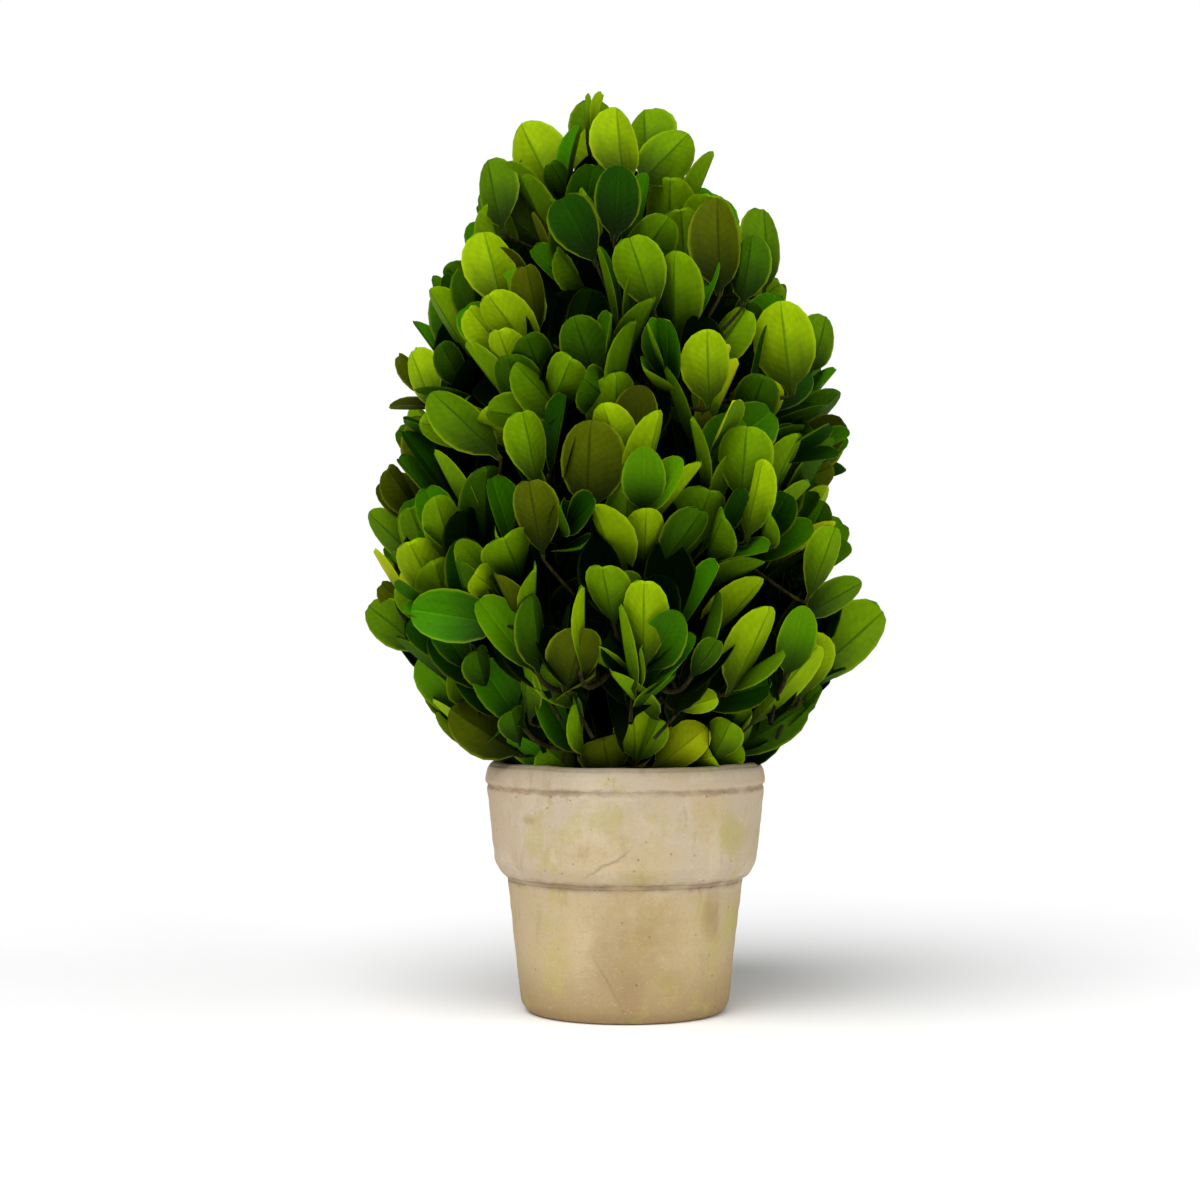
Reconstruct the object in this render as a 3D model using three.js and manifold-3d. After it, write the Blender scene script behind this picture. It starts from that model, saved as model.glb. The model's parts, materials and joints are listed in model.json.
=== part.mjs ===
// A boxwood cone topiary: leafy sprigs clipped to a blunt cone round one short woody stem, in a
// collared clay pot. Millimetres, +Z up, origin at the middle of the pot's underside.
// The plant is a fixed tree: pot, fill, trunk, one bough to each mass of foliage, and the masses.

import * as THREE from "three";
import { mergeVertices } from "three/addons/utils/BufferGeometryUtils.js";
import Module from "manifold-3d";

const wasm = await Module();
wasm.setup();

// ---- Driving dimensions ----

const TOTAL_HEIGHT = 152.4; // six inches, pot and plant
const GAP = 0.3; // clear air between two solids that meet
const SEED = 1; // which plant the growing rule makes
const FINEST = 0.02; // edges shorter than this are joined up
const FULL_TURN = 2 * Math.PI;

const POT = {
  height: 41.4,
  baseRadius: 17.3, // at the foot
  neckRadius: 20.1, // just under the collar
  collarRadius: 21.7, // the collar's lower edge
  rimRadius: 23.1, // the lip, the widest part
  collarZ: 22.6,
  lipHeight: 3.2,
  footRound: 1.5,
  floor: 4,
  mouthRadius: 19.4, // inside, at the rim
  innerFootRadius: 14.2, // inside, at the floor
  drainRadius: 4,
  sides: 40,
};

const FILL = { topZ: 38.2, crown: 1.2, sides: 24 };

const TRUNK = {
  footZ: FILL.topZ + GAP, // cut off flat, just over the fill
  tipZ: 108,
  radius: 2.3,
  flareRadius: 4.4,
  flareHeight: 7,
  tipRadius: 1.1,
  sway: 1.4,
  spare: 1, // length that the flat cut takes off
};

// A bough stops this far, shy, short of its mass's core; neighbours leave the trunk stagger apart.
const BOUGH = { rootRadius: 1.25, tipRadius: 0.9, shy: 1, stagger: 2.4 };

// The crown is a surface that the outermost leaf tips reach: an egg, widest low down.
const CROWN = {
  footZ: POT.height,
  footReach: 24,
  widestZ: 66,
  widestReach: 42,
  topZ: TOTAL_HEIGHT,
  lean: -5, // how far the tip stands to the left of the pot's axis
  leanFromZ: 95,
  shaggy: 1.2, // how far leaf tips may stand out of the clipped outline
};

// Rings of sprigs, from the rim up. z is where a ring's leaf tips reach the crown's surface, and
// rise is how steeply its sprigs point up, in degrees. A ring of one is the summit. Each tier is
// shared out into masses, the first starting turn degrees round.
const TIERS = [
  {
    name: "skirt",
    masses: 4,
    turn: 30,
    boughRise: 12,
    rings: [
      { z: 47.5, sprigs: 12, rise: 12 },
      { z: 57, sprigs: 16, rise: 22 },
    ],
  },
  {
    name: "lower",
    masses: 5,
    turn: 18,
    boughRise: 26,
    rings: [
      { z: 68, sprigs: 20, rise: 32 },
      { z: 78, sprigs: 20, rise: 42 },
    ],
  },
  {
    name: "middle",
    masses: 4,
    turn: 75,
    boughRise: 40,
    rings: [
      { z: 89, sprigs: 16, rise: 50 },
      { z: 101, sprigs: 16, rise: 56 },
    ],
  },
  {
    name: "upper",
    masses: 3,
    turn: 100,
    boughRise: 50,
    rings: [
      { z: 113, sprigs: 12, rise: 62 },
      { z: 125, sprigs: 12, rise: 68 },
    ],
  },
  {
    name: "tip",
    masses: 1,
    turn: 0,
    boughRise: 90,
    rings: [
      { z: TOTAL_HEIGHT, sprigs: 1, rise: 90 },
      { z: 146, sprigs: 4, rise: 82 },
      { z: 137, sprigs: 8, rise: 74 },
    ],
  },
];

// The dense heart of each mass, a slab that its sprigs stand out of. Depths are below the crown's
// surface, along the sprigs.
const CORE = {
  top: 15,
  topAtFloor: 16, // its lower outer edge is drawn in, out of sight
  bottom: 27,
  innermost: 9, // how near the crown's axis it may come
  underCeiling: 0.8, // clear of the mass's upper cone
  aside: 0.3, // clear of its other bounds
  step: 22.5, // degrees round the crown to a facet
};

const SPRIG = {
  pairs: 2, // pairs of leaves, the last at the twig's end
  pairSpacing: 3.5,
  tipShare: 0.97, // the last pair's roots are this share of a leaf below the sprig's tip
  start: 19.5, // how far below its tip a twig starts, within the core
  gathers: [0.25, 0.5, 0.75], // shares to try of a foot's way to the middle of the core
  rootRadius: 1,
  endRadius: 0.8,
  splayFoot: 52, // how far a leaf leans off its twig, at the lowest pair and at the end
  splayEnd: 26,
  roll: 0.9, // how much a leaf turns a broad side outwards, on average
  rollRise: 0.4, // how far up that side looks: rise over run
};

const LEAF = {
  length: 16,
  widthShare: 0.62, // of its length
  thickness: 0.5, // of the ridge under the midrib
  rootSunk: 0.25, // how far the root runs past the twig's centre line
  widestAt: 0.6, // share of the length where a spoon-shaped leaf is widest
  tipWidthShare: 0.5, // of the width, at the blunt tip
  cup: 0.09, // how far the edges stand up, as a share of the width
};

// ---- Small helpers ----

const radians = THREE.MathUtils.degToRad;

// A linear congruential generator: the same seed always grows the same plant.
function randomFrom(seed) {
  const TWO_32 = 2 ** 32;
  let state = (seed * 2654435761) % TWO_32;
  const next = () => {
    state = (state * 1664525 + 1013904223) % TWO_32;
    return state / TWO_32;
  };
  next();
  return next;
}

// A value spread evenly round middle, up to spread either way.
const vary = (random, middle, spread) => middle + spread * (2 * random() - 1);

const polar = (radius, angle, z) =>
  new THREE.Vector3(radius * Math.cos(angle), radius * Math.sin(angle), z);

// A closed solid from a three.js geometry.
function solidOf(geometry) {
  const bare = geometry.clone().deleteAttribute("normal").deleteAttribute("uv");
  const merged = mergeVertices(bare, 1e-4);
  return new wasm.Manifold(
    new wasm.Mesh({
      numProp: 3,
      vertProperties: merged.attributes.position.array,
      triVerts: new Uint32Array(merged.index.array),
    }),
  );
}

function cornersOf(solid) {
  const { vertProperties, numProp, numVert } = solid.getMesh();
  return Array.from({ length: numVert }, (_, i) =>
    new THREE.Vector3().fromArray(vertProperties, i * numProp),
  );
}

// The geometry of a solid, keeping its largest body: scraps and sealed hollows are left out, and
// so are edges shorter than FINEST.
function geometryOf(solid) {
  const bodies = solid.simplify(FINEST).decompose();
  const mesh = bodies.sort((a, b) => b.volume() - a.volume())[0].getMesh();
  return new THREE.BufferGeometry()
    .setAttribute("position", new THREE.BufferAttribute(mesh.vertProperties, mesh.numProp))
    .setIndex(new THREE.BufferAttribute(mesh.triVerts, 1));
}

// A tapering round limb: a cylinder bent along a curve. radiusAt takes a share of its length.
function limb(curve, radiusAt, sides, segments) {
  const geometry = new THREE.CylinderGeometry(1, 1, 1, sides, segments);
  const frames = curve.computeFrenetFrames(segments);
  const position = geometry.attributes.position;
  const vertex = new THREE.Vector3();
  for (let i = 0; i < position.count; i++) {
    vertex.fromBufferAttribute(position, i);
    const step = Math.round((vertex.y + 0.5) * segments);
    const share = step / segments;
    const spread = Math.hypot(vertex.x, vertex.z) > 0.5 ? radiusAt(share) : 0;
    const angle = Math.atan2(vertex.z, vertex.x);
    const placed = curve
      .getPointAt(share)
      .addScaledVector(frames.normals[step], -spread * Math.cos(angle))
      .addScaledVector(frames.binormals[step], spread * Math.sin(angle));
    position.setXYZ(i, placed.x, placed.y, placed.z);
  }
  return solidOf(geometry);
}

// ---- Pot and fill ----

function lathe(profile, sides) {
  const points = profile.map(([r, z]) => new THREE.Vector2(r, z));
  return new THREE.LatheGeometry(points, sides).rotateX(Math.PI / 2);
}

// The inside wall's radius, level with z.
function innerRadius(z) {
  const share = (z - POT.floor) / (POT.height - POT.floor);
  return THREE.MathUtils.lerp(POT.innerFootRadius, POT.mouthRadius, share);
}

function potGeometry() {
  const lipZ = POT.height - POT.lipHeight;
  const shoulder = 1.6; // height of the collar's rounded lower edge
  const lipRound = 0.9;
  const outside = [
    [POT.drainRadius, 0],
    [POT.baseRadius - POT.footRound, 0],
    [POT.baseRadius, POT.footRound],
    [POT.neckRadius, POT.collarZ],
    [POT.collarRadius - 0.5, POT.collarZ + 0.5],
    [POT.collarRadius, POT.collarZ + shoulder],
    [POT.rimRadius - 0.5, lipZ],
    [POT.rimRadius, lipZ + 0.7],
    [POT.rimRadius - 0.1, POT.height - lipRound],
    [POT.rimRadius - lipRound, POT.height],
  ];
  const inside = [
    [POT.mouthRadius + lipRound, POT.height],
    [POT.mouthRadius, POT.height - lipRound],
    [POT.innerFootRadius, POT.floor],
    [POT.drainRadius, POT.floor],
  ];
  return lathe([...outside, ...inside, outside[0]], POT.sides);
}

function fillGeometry() {
  const footZ = POT.floor + GAP;
  const edgeZ = FILL.topZ - FILL.crown;
  const flat = TRUNK.flareRadius + 1.5; // the level ground that the trunk stands on
  return lathe(
    [
      [0, footZ],
      [innerRadius(footZ) - GAP, footZ],
      [innerRadius(edgeZ) - GAP, edgeZ],
      [flat, FILL.topZ],
      [0, FILL.topZ],
    ],
    FILL.sides,
  );
}

// The rim and the fill's surface, grown by the clear gap: no leaf reaches into these.
function potGuard() {
  const inner = POT.mouthRadius - GAP - 0.2;
  const outer = POT.rimRadius + GAP;
  return solidOf(
    lathe(
      [
        [0, 0],
        [outer, 0],
        [outer, POT.height - 0.6],
        [outer - 1, POT.height + GAP],
        [inner + 1, POT.height + GAP],
        [inner, POT.height - 0.6],
        [inner, FILL.topZ + GAP],
        [0, FILL.topZ + GAP],
      ],
      POT.sides,
    ),
  );
}

// ---- The crown's shape ----

function reachAt(z) {
  if (z >= CROWN.widestZ) {
    const up = (z - CROWN.widestZ) / (CROWN.topZ - CROWN.widestZ);
    return CROWN.widestReach * Math.sqrt(Math.max(0, 1 - up * up));
  }
  const down = (CROWN.widestZ - z) / (CROWN.widestZ - CROWN.footZ);
  return CROWN.widestReach - (CROWN.widestReach - CROWN.footReach) * down ** 1.1;
}

// How far the crown's axis stands to one side of the pot's, level with z.
function leanAt(z) {
  const share = Math.max(0, z - CROWN.leanFromZ) / (CROWN.topZ - CROWN.leanFromZ);
  return CROWN.lean * share * share;
}

const onAxis = (z) => new THREE.Vector3(leanAt(z), 0, z);

// ---- Trunk ----

function trunkCurve() {
  const startZ = TRUNK.footZ - TRUNK.spare;
  const points = [0, 0.25, 0.5, 0.75, 1].map((share) => {
    const z = THREE.MathUtils.lerp(startZ, TRUNK.tipZ, share);
    const swing = TRUNK.sway * Math.sin(share * FULL_TURN) * (1 - share);
    return new THREE.Vector3(leanAt(z) + swing, 0.6 * swing, z);
  });
  return new THREE.CatmullRomCurve3(points);
}

const TRUNK_CURVE = trunkCurve();

function trunkRadiusAt(share) {
  const height = share * (TRUNK.tipZ - TRUNK.footZ);
  const flare = Math.max(0, 1 - height / TRUNK.flareHeight) ** 2;
  const taper = THREE.MathUtils.lerp(TRUNK.radius, TRUNK.tipRadius, share);
  return taper + (TRUNK.flareRadius - TRUNK.radius) * flare;
}

function trunkSolid(grow = 0) {
  const segments = 12;
  const whole = limb(TRUNK_CURVE, (share) => trunkRadiusAt(share) + grow, 8, segments);
  return whole.trimByPlane([0, 0, 1], TRUNK.footZ - grow);
}

// The trunk's centre, level with z.
function trunkCentre(z) {
  const share = (z - TRUNK.footZ) / (TRUNK.tipZ - TRUNK.footZ);
  return TRUNK_CURVE.getPointAt(THREE.MathUtils.clamp(share, 0, 1));
}

// ---- Sprigs: where each one stands, from its ring's rule ----

// Where a sprig ends: on the crown's surface, jittered round its even place in the ring.
function sprigPlan(tierIndex, ringIndex, index, angle) {
  const ring = TIERS[tierIndex].rings[ringIndex];
  const random = randomFrom(SEED + tierIndex * 1009 + ringIndex * 211 + index * 17);
  const summit = ring.sprigs === 1;
  const azimuth = vary(random, angle, (0.16 * FULL_TURN) / ring.sprigs);
  const z = summit ? ring.z : vary(random, ring.z, 1.8);
  const reach = summit ? 0 : reachAt(Math.min(z, CROWN.topZ - 2.2)) * vary(random, 0.975, 0.035);
  const rise = radians(summit ? ring.rise : vary(random, ring.rise, 6));
  const tip = onAxis(z).add(polar(reach, azimuth, 0));
  const foot = tip.clone().sub(polar(Math.cos(rise), azimuth, Math.sin(rise)).setLength(SPRIG.start));
  const leafLength = summit ? LEAF.length : vary(random, LEAF.length, 1.6);
  return { tip, foot, summit, leafLength, twist: FULL_TURN * random(), random };
}

// ---- Masses: each keeps to a space between two cones and two upright planes ----

// The cone between two tiers: leaves of the tier above stay over it, those below under it.
function coneBetween(below, above) {
  const z = (below.z + above.z) / 2;
  const rise = radians((below.rise + above.rise) / 2);
  return { z, reach: reachAt(z), rise };
}

// How far a point is above a cone; under it this is negative.
function heightOver(cone, point) {
  const r = Math.hypot(point.x - leanAt(point.z), point.y);
  return (point.z - cone.z) * Math.cos(cone.rise) - (r - cone.reach) * Math.sin(cone.rise);
}

const lowest = (tier) => tier.rings.reduce((a, b) => (a.z < b.z ? a : b));

function massPlans() {
  const plans = [];
  TIERS.forEach((tier, tierIndex) => {
    const under = TIERS[tierIndex - 1];
    const over = TIERS[tierIndex + 1];
    const floor = under ? coneBetween(under.rings.at(-1), lowest(tier)) : null;
    const ceiling = over ? coneBetween(tier.rings.at(-1), lowest(over)) : null;
    const width = FULL_TURN / tier.masses;
    const rise = radians(tier.rings.reduce((sum, ring) => sum + ring.rise, 0) / tier.rings.length);
    for (let m = 0; m < tier.masses; m++) {
      const from = radians(tier.turn) + m * width;
      const sprigs = tier.rings.flatMap((ring, ringIndex) => {
        const share = ring.sprigs / tier.masses;
        const stagger = ringIndex % 2 ? 0.14 : -0.14;
        return Array.from({ length: share }, (_, i) => {
          const angle = from + ((i + 0.5 + stagger) / share) * width;
          return sprigPlan(tierIndex, ringIndex, m * share + i, angle);
        });
      });
      const single = tier.masses === 1;
      const name = single ? tier.name : `${tier.name}_${m + 1}`;
      const middle = from + width / 2;
      plans.push({ name, index: m, tier, middle, width, single, rise, floor, ceiling, sprigs });
    }
  });
  return plans;
}

// True if a point is in the mass's own space, clear of its bounds and inside the clipped outline.
function inSpace(mass, point, margin = GAP / 2) {
  if (mass.floor && heightOver(mass.floor, point) < margin) return false;
  if (mass.ceiling && heightOver(mass.ceiling, point) > -margin) return false;
  if (mass.single) return true;
  const r = Math.hypot(point.x - leanAt(point.z), point.y);
  if (r > reachAt(point.z) + CROWN.shaggy) return false;
  const angle = Math.atan2(point.y, point.x - leanAt(point.z)) - mass.middle;
  const off = Math.abs(THREE.MathUtils.euclideanModulo(angle + Math.PI, FULL_TURN) - Math.PI);
  return off < mass.width / 2 && r * Math.sin(mass.width / 2 - off) > margin;
}

// Cones that bound the lowest and the topmost core.
const FOOT_CONE = { z: CROWN.footZ, reach: CROWN.footReach, rise: 0 };
const SUMMIT_CONE = { z: CROWN.topZ, reach: 0, rise: Math.PI / 2 };

// The point a depth below the crown's surface along a cone, and lift off it, as [r, z].
function onCone(cone, depth, lift) {
  const r = cone.reach - depth * Math.cos(cone.rise) - lift * Math.sin(cone.rise);
  const z = cone.z - depth * Math.sin(cone.rise) + lift * Math.cos(cone.rise);
  return [r, z];
}

function coreOutline(mass) {
  const floor = mass.floor ?? FOOT_CONE;
  const ceiling = mass.ceiling ?? SUMMIT_CONE;
  const lift = mass.ceiling ? -CORE.underCeiling : 0;
  const corners = [
    onCone(floor, CORE.topAtFloor, CORE.aside),
    onCone(ceiling, CORE.top, lift),
    onCone(ceiling, CORE.bottom, lift),
    onCone(floor, CORE.bottom, CORE.aside),
  ];
  const least = mass.single ? 0 : CORE.innermost;
  return corners.map(([r, z]) => [Math.max(r, least), z]);
}

function coreCentre(mass) {
  const outline = coreOutline(mass);
  const mean = (k) => outline.reduce((sum, point) => sum + point[k], 0) / outline.length;
  const r = mass.single ? 0 : mean(0);
  return onAxis(mean(1)).add(polar(r, mass.middle, 0));
}

// The core swept round its mass's share of the ring, and shifted to the leaning axis.
function coreSolid(mass) {
  const degrees = THREE.MathUtils.radToDeg;
  const inset = mass.single ? 0 : degrees(CORE.aside / CORE.innermost);
  const sweep = degrees(mass.width) - 2 * inset;
  const facets = Math.ceil(sweep / CORE.step);
  const start = degrees(mass.middle) - sweep / 2;
  return wasm.Manifold.revolve([coreOutline(mass)], facets, sweep)
    .rotate([0, 0, start])
    .warp((vertex) => (vertex[0] += leanAt(vertex[2])));
}

// ---- Leaves ----

// A spoon-shaped leaf: five corners round it and the midrib's ridge on its underside.
function leafCorners(root, along, face, length, width) {
  const across = new THREE.Vector3().crossVectors(along, face);
  const place = (distance, side, lift) =>
    root
      .clone()
      .addScaledVector(along, distance)
      .addScaledVector(across, side)
      .addScaledVector(face, lift);
  const lift = LEAF.cup * width;
  const tipSide = (LEAF.tipWidthShare * width) / 2;
  const widest = LEAF.widestAt * length;
  return [
    place(-LEAF.rootSunk, 0, 0),
    place(widest, width / 2, lift),
    place(length, tipSide, lift / 2),
    place(length, -tipSide, lift / 2),
    place(widest, -width / 2, lift),
    place(widest, 0, -LEAF.thickness),
  ];
}

// Eight faces: five from the ridge to the rim, and three across the upper side.
function leafSolid(corners) {
  const RIM = 5;
  const RIDGE = 5;
  const triangles = [0, 1, 4, 1, 2, 4, 2, 3, 4];
  for (let i = 0; i < RIM; i++) triangles.push((i + 1) % RIM, i, RIDGE);
  const geometry = new THREE.BufferGeometry()
    .setAttribute("position", new THREE.Float32BufferAttribute(corners.flatMap((c) => [...c]), 3))
    .setIndex(triangles);
  return solidOf(geometry);
}

// The leaves of one sprig: opposite pairs, each pair turned a quarter from the last.
function sprigLeaves(sprig, axis) {
  const side = new THREE.Vector3(-axis.y, axis.x, 0);
  if (side.length() < 0.01) side.set(1, 0, 0);
  side.normalize();
  const leaves = [];
  for (let pair = 0; pair < SPRIG.pairs; pair++) {
    const share = pair / (SPRIG.pairs - 1);
    const below = SPRIG.tipShare * sprig.leafLength + SPRIG.pairSpacing * (SPRIG.pairs - 1 - pair);
    const root = sprig.tip.clone().addScaledVector(axis, -below);
    const splay = THREE.MathUtils.lerp(SPRIG.splayFoot, SPRIG.splayEnd, share);
    const quarter = (pair * Math.PI) / 2 + sprig.twist;
    for (const half of [0, Math.PI]) {
      const turned = quarter + half + vary(sprig.random, 0, 0.3);
      const away = side.clone().applyAxisAngle(axis, turned);
      const lean = radians(vary(sprig.random, splay, 7)) * (sprig.summit ? 0.2 : 1);
      const fullLength = sprig.summit ? SPRIG.tipShare / Math.cos(lean) : vary(sprig.random, 1, 0.1);
      const length = sprig.leafLength * (share < 1 ? 0.9 : 1) * fullLength;
      const width = length * vary(sprig.random, LEAF.widthShare, 0.09);
      const roll = SPRIG.roll * 2 * sprig.random();
      leaves.push({ root, axis, away, lean, length, width, roll });
    }
  }
  return leaves;
}

// Places to try for a leaf, in turn: swung round its twig, drawn in towards it, then smaller.
const LEAF_TRIES = [1, 0.88, 0.76].flatMap((size) =>
  [1, 0.7, 0.45].flatMap((draw) =>
    [0, 0.4, -0.4, 0.8, -0.8, 1.2, -1.2].map((swing) => ({ swing, draw, size })),
  ),
);

function tryLeaf(leaf, { swing, draw, size }) {
  const away = leaf.away.clone().applyAxisAngle(leaf.axis, swing);
  const lean = leaf.lean * draw;
  const along = leaf.axis.clone().multiplyScalar(Math.cos(lean));
  along.addScaledVector(away, Math.sin(lean));
  const face = leaf.axis.clone().multiplyScalar(Math.sin(lean));
  face.addScaledVector(away, -Math.cos(lean));
  const out = leaf.root.clone().sub(onAxis(leaf.root.z)).normalize().setZ(SPRIG.rollRise);
  face.addScaledVector(out, Math.sign(face.dot(out)) * leaf.roll);
  face.addScaledVector(along, -face.dot(along)).normalize();
  return leafCorners(leaf.root, along, face, leaf.length * size, leaf.width * size);
}

// The part of a leaf that must not cross another leaf: all but its root third.
function bladeOf(corners) {
  const [root, right, , , left] = corners;
  const neck = right.clone().add(left).divideScalar(2).lerp(root, 0.55);
  return leafSolid([neck, ...corners.slice(1)]);
}

// A leaf where it is clear and crosses neither twigs nor blades; null if no place will do.
function placeLeaf(leaf, blades, clear) {
  for (const attempt of LEAF_TRIES) {
    const corners = tryLeaf(leaf, attempt);
    const solid = leafSolid(corners);
    if (!clear(solid)) continue;
    const blade = bladeOf(corners);
    if (blades.every((other) => blade.intersect(other).isEmpty())) return { solid, blade };
  }
  return null;
}

// ---- Boughs and masses ----

// How far along a line from start a solid reaches.
function farthest(solid, start, along) {
  return Math.max(...cornersOf(solid).map((corner) => corner.sub(start).dot(along)));
}

// The bough's centre line, from the trunk's centre to a little short of the core.
function boughLine(mass) {
  const { centre } = mass;
  const out = Math.hypot(centre.x, centre.y);
  const stagger = (mass.index % 2 ? 0.5 : -0.5) * BOUGH.stagger;
  const startZ = centre.z - out * Math.tan(radians(mass.tier.boughRise)) + stagger;
  const start = trunkCentre(Math.max(startZ, FILL.topZ + 5));
  const along = centre.clone().sub(start).normalize();
  const ray = limb(new THREE.LineCurve3(start, centre), () => BOUGH.tipRadius, 7, 1);
  const outside = ray.subtract(mass.core).decompose();
  const reach = Math.min(...outside.map((piece) => farthest(piece, start, along)));
  return { start, along, end: start.clone().addScaledVector(along, reach - BOUGH.shy) };
}

function boughSolid(line, grow = 0) {
  const end = line.end.clone().addScaledVector(line.along, grow);
  const radiusAt = (share) =>
    THREE.MathUtils.lerp(BOUGH.rootRadius, BOUGH.tipRadius, share) + grow;
  return limb(new THREE.LineCurve3(line.start, end), radiusAt, 7, 1);
}

// A mass's own stem, from its bough's tip, or the trunk's, into the core.
function stemSolid(from, along, centre) {
  const start = from.clone().addScaledVector(along, GAP);
  return limb(new THREE.LineCurve3(start, centre), () => BOUGH.tipRadius * 0.9, 6, 1);
}

// A three-sided twig out of the core, straight to a little past its last pair of leaves.
function twigSolid(start, sprig, axis) {
  const end = sprig.tip.clone().addScaledVector(axis, 0.5 - SPRIG.tipShare * sprig.leafLength);
  const radiusAt = (share) => THREE.MathUtils.lerp(SPRIG.rootRadius, SPRIG.endRadius, share);
  return limb(new THREE.LineCurve3(start, end), radiusAt, 3, 1);
}

// A sprig's twig where it is clear, and its direction; null if it would be in the way.
function placeTwig(mass, sprig, clear) {
  for (const gather of SPRIG.gathers) {
    const start = sprig.foot.clone().lerp(mass.centre, gather);
    const axis = sprig.tip.clone().sub(start).normalize();
    const twig = twigSolid(start, sprig, axis);
    if (clear(twig)) return { twig, axis };
  }
  return null;
}

function massSolid(mass, stemFrom, stemAlong, obstacles) {
  const clear = (solid) =>
    cornersOf(solid).every((corner) => inSpace(mass, corner)) &&
    solid.intersect(obstacles).isEmpty();
  const grown = [];
  for (const sprig of mass.sprigs) {
    const placed = placeTwig(mass, sprig, clear);
    if (placed) grown.push({ twig: placed.twig, leaves: sprigLeaves(sprig, placed.axis) });
  }
  const blades = grown.map(({ twig }) => twig);
  const parts = [mass.core.subtract(obstacles), stemSolid(stemFrom, stemAlong, mass.centre)];
  for (const { twig, leaves } of grown) {
    parts.push(twig);
    for (const leaf of leaves) {
      const placed = placeLeaf(leaf, blades, clear);
      if (!placed) continue;
      blades.push(placed.blade);
      parts.push(placed.solid);
    }
  }
  return wasm.Manifold.union(parts);
}

// ---- Materials ----

const finish = (color, roughness) =>
  new THREE.MeshStandardMaterial({ color, roughness, metalness: 0 });

const CLAY = finish(0xc8b48f, 0.9);
const MOSS = finish(0x4a3d26, 1);
const BARK = finish(0x5d4a33, 0.9);
const LEAF_GREEN = {
  skirt: finish(0x6d8f12, 0.5),
  lower: finish(0x4f7a10, 0.5),
  middle: finish(0x5a8a14, 0.5),
  upper: finish(0x4a7d16, 0.5),
  tip: finish(0x6f9c1a, 0.5),
};

// ---- Assembly ----

function mesh(name, geometry, material) {
  const made = new THREE.Mesh(geometry, material);
  made.name = name;
  return made;
}

const topiary = new THREE.Group();
topiary.add(mesh("pot", potGeometry(), CLAY));
topiary.add(mesh("pot_fill", fillGeometry(), MOSS));
topiary.add(mesh("trunk", geometryOf(trunkSolid()), BARK));

const trunkGuard = trunkSolid(GAP);
const masses = massPlans();
for (const mass of masses) {
  mass.centre = coreCentre(mass);
  mass.core = coreSolid(mass);
}

const boughs = masses
  .filter((mass) => !mass.single)
  .map((mass) => ({ mass, line: boughLine(mass) }));
for (const { mass, line } of boughs) {
  const solid = boughSolid(line).subtract(trunkGuard);
  topiary.add(mesh(`bough_${mass.name}`, geometryOf(solid), BARK));
}

const obstacles = wasm.Manifold.union([
  potGuard(),
  trunkGuard,
  ...boughs.map(({ line }) => boughSolid(line, GAP)),
]);

const trunkTip = TRUNK_CURVE.getPointAt(1);
for (const mass of masses) {
  const bough = boughs.find((one) => one.mass === mass);
  const from = bough ? bough.line.end : trunkTip;
  const along = mass.centre.clone().sub(from).normalize();
  const solid = massSolid(mass, from, along, obstacles);
  topiary.add(mesh(`foliage_${mass.name}`, geometryOf(solid), LEAF_GREEN[mass.tier.name]));
}

export default topiary;
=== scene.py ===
"""The looks of a boxwood cone topiary in a collared clay pot.

The plant grows here by the same rule as its CAD solids: rings of sprigs that end on the crown's
surface, shared out into masses, each on its own bough. The twigs go finer and the leaves are the
real ones' size. Sizes are in millimetres, and MM turns them to metres where a mesh is made.
"""

import json
import math
from types import SimpleNamespace as Sizes

import bpy
import numpy as np
from mathutils import Matrix, Vector, noise
from mathutils.bvhtree import BVHTree

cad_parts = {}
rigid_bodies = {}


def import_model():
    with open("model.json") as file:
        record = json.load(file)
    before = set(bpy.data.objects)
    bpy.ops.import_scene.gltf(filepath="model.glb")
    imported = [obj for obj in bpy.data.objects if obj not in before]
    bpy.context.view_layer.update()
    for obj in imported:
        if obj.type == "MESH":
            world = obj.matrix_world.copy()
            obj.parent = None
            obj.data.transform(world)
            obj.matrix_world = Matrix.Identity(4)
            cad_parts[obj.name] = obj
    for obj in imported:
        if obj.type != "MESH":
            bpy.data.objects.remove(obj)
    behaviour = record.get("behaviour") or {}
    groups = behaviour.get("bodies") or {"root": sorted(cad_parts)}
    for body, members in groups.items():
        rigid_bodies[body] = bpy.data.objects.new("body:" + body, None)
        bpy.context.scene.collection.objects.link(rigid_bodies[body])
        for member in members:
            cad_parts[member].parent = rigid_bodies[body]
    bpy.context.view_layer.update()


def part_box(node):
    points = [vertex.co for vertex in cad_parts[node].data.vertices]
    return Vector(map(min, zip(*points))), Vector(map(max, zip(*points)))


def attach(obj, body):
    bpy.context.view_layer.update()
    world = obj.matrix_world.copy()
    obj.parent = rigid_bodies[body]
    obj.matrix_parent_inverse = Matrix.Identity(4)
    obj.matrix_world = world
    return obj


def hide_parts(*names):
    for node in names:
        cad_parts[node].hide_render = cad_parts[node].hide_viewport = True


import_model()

MM = 0.001
FULL_TURN = 2 * math.pi
UP = Vector((0, 0, 1))

# ---- Sizes that the frame gives ----

POT_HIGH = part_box("pot")[1] / MM
FILL_LOW, FILL_HIGH = (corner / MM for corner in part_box("pot_fill"))
TRUNK_LOW, TRUNK_HIGH = (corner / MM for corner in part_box("trunk"))

POT = Sizes(
    height=POT_HIGH.z, rim_radius=POT_HIGH.x, base_radius=17.3, neck_radius=20.1,
    collar_radius=21.7, collar_z=22.6, lip_height=3.2, floor=4.0, mouth_radius=19.4,
    inner_foot_radius=14.2, drain_radius=4.0,
)

# How clear leaves stay above the rim, and inside the wall and over the filling.
POT_CLEAR = Sizes(above=0.4, inside=0.5)

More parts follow.
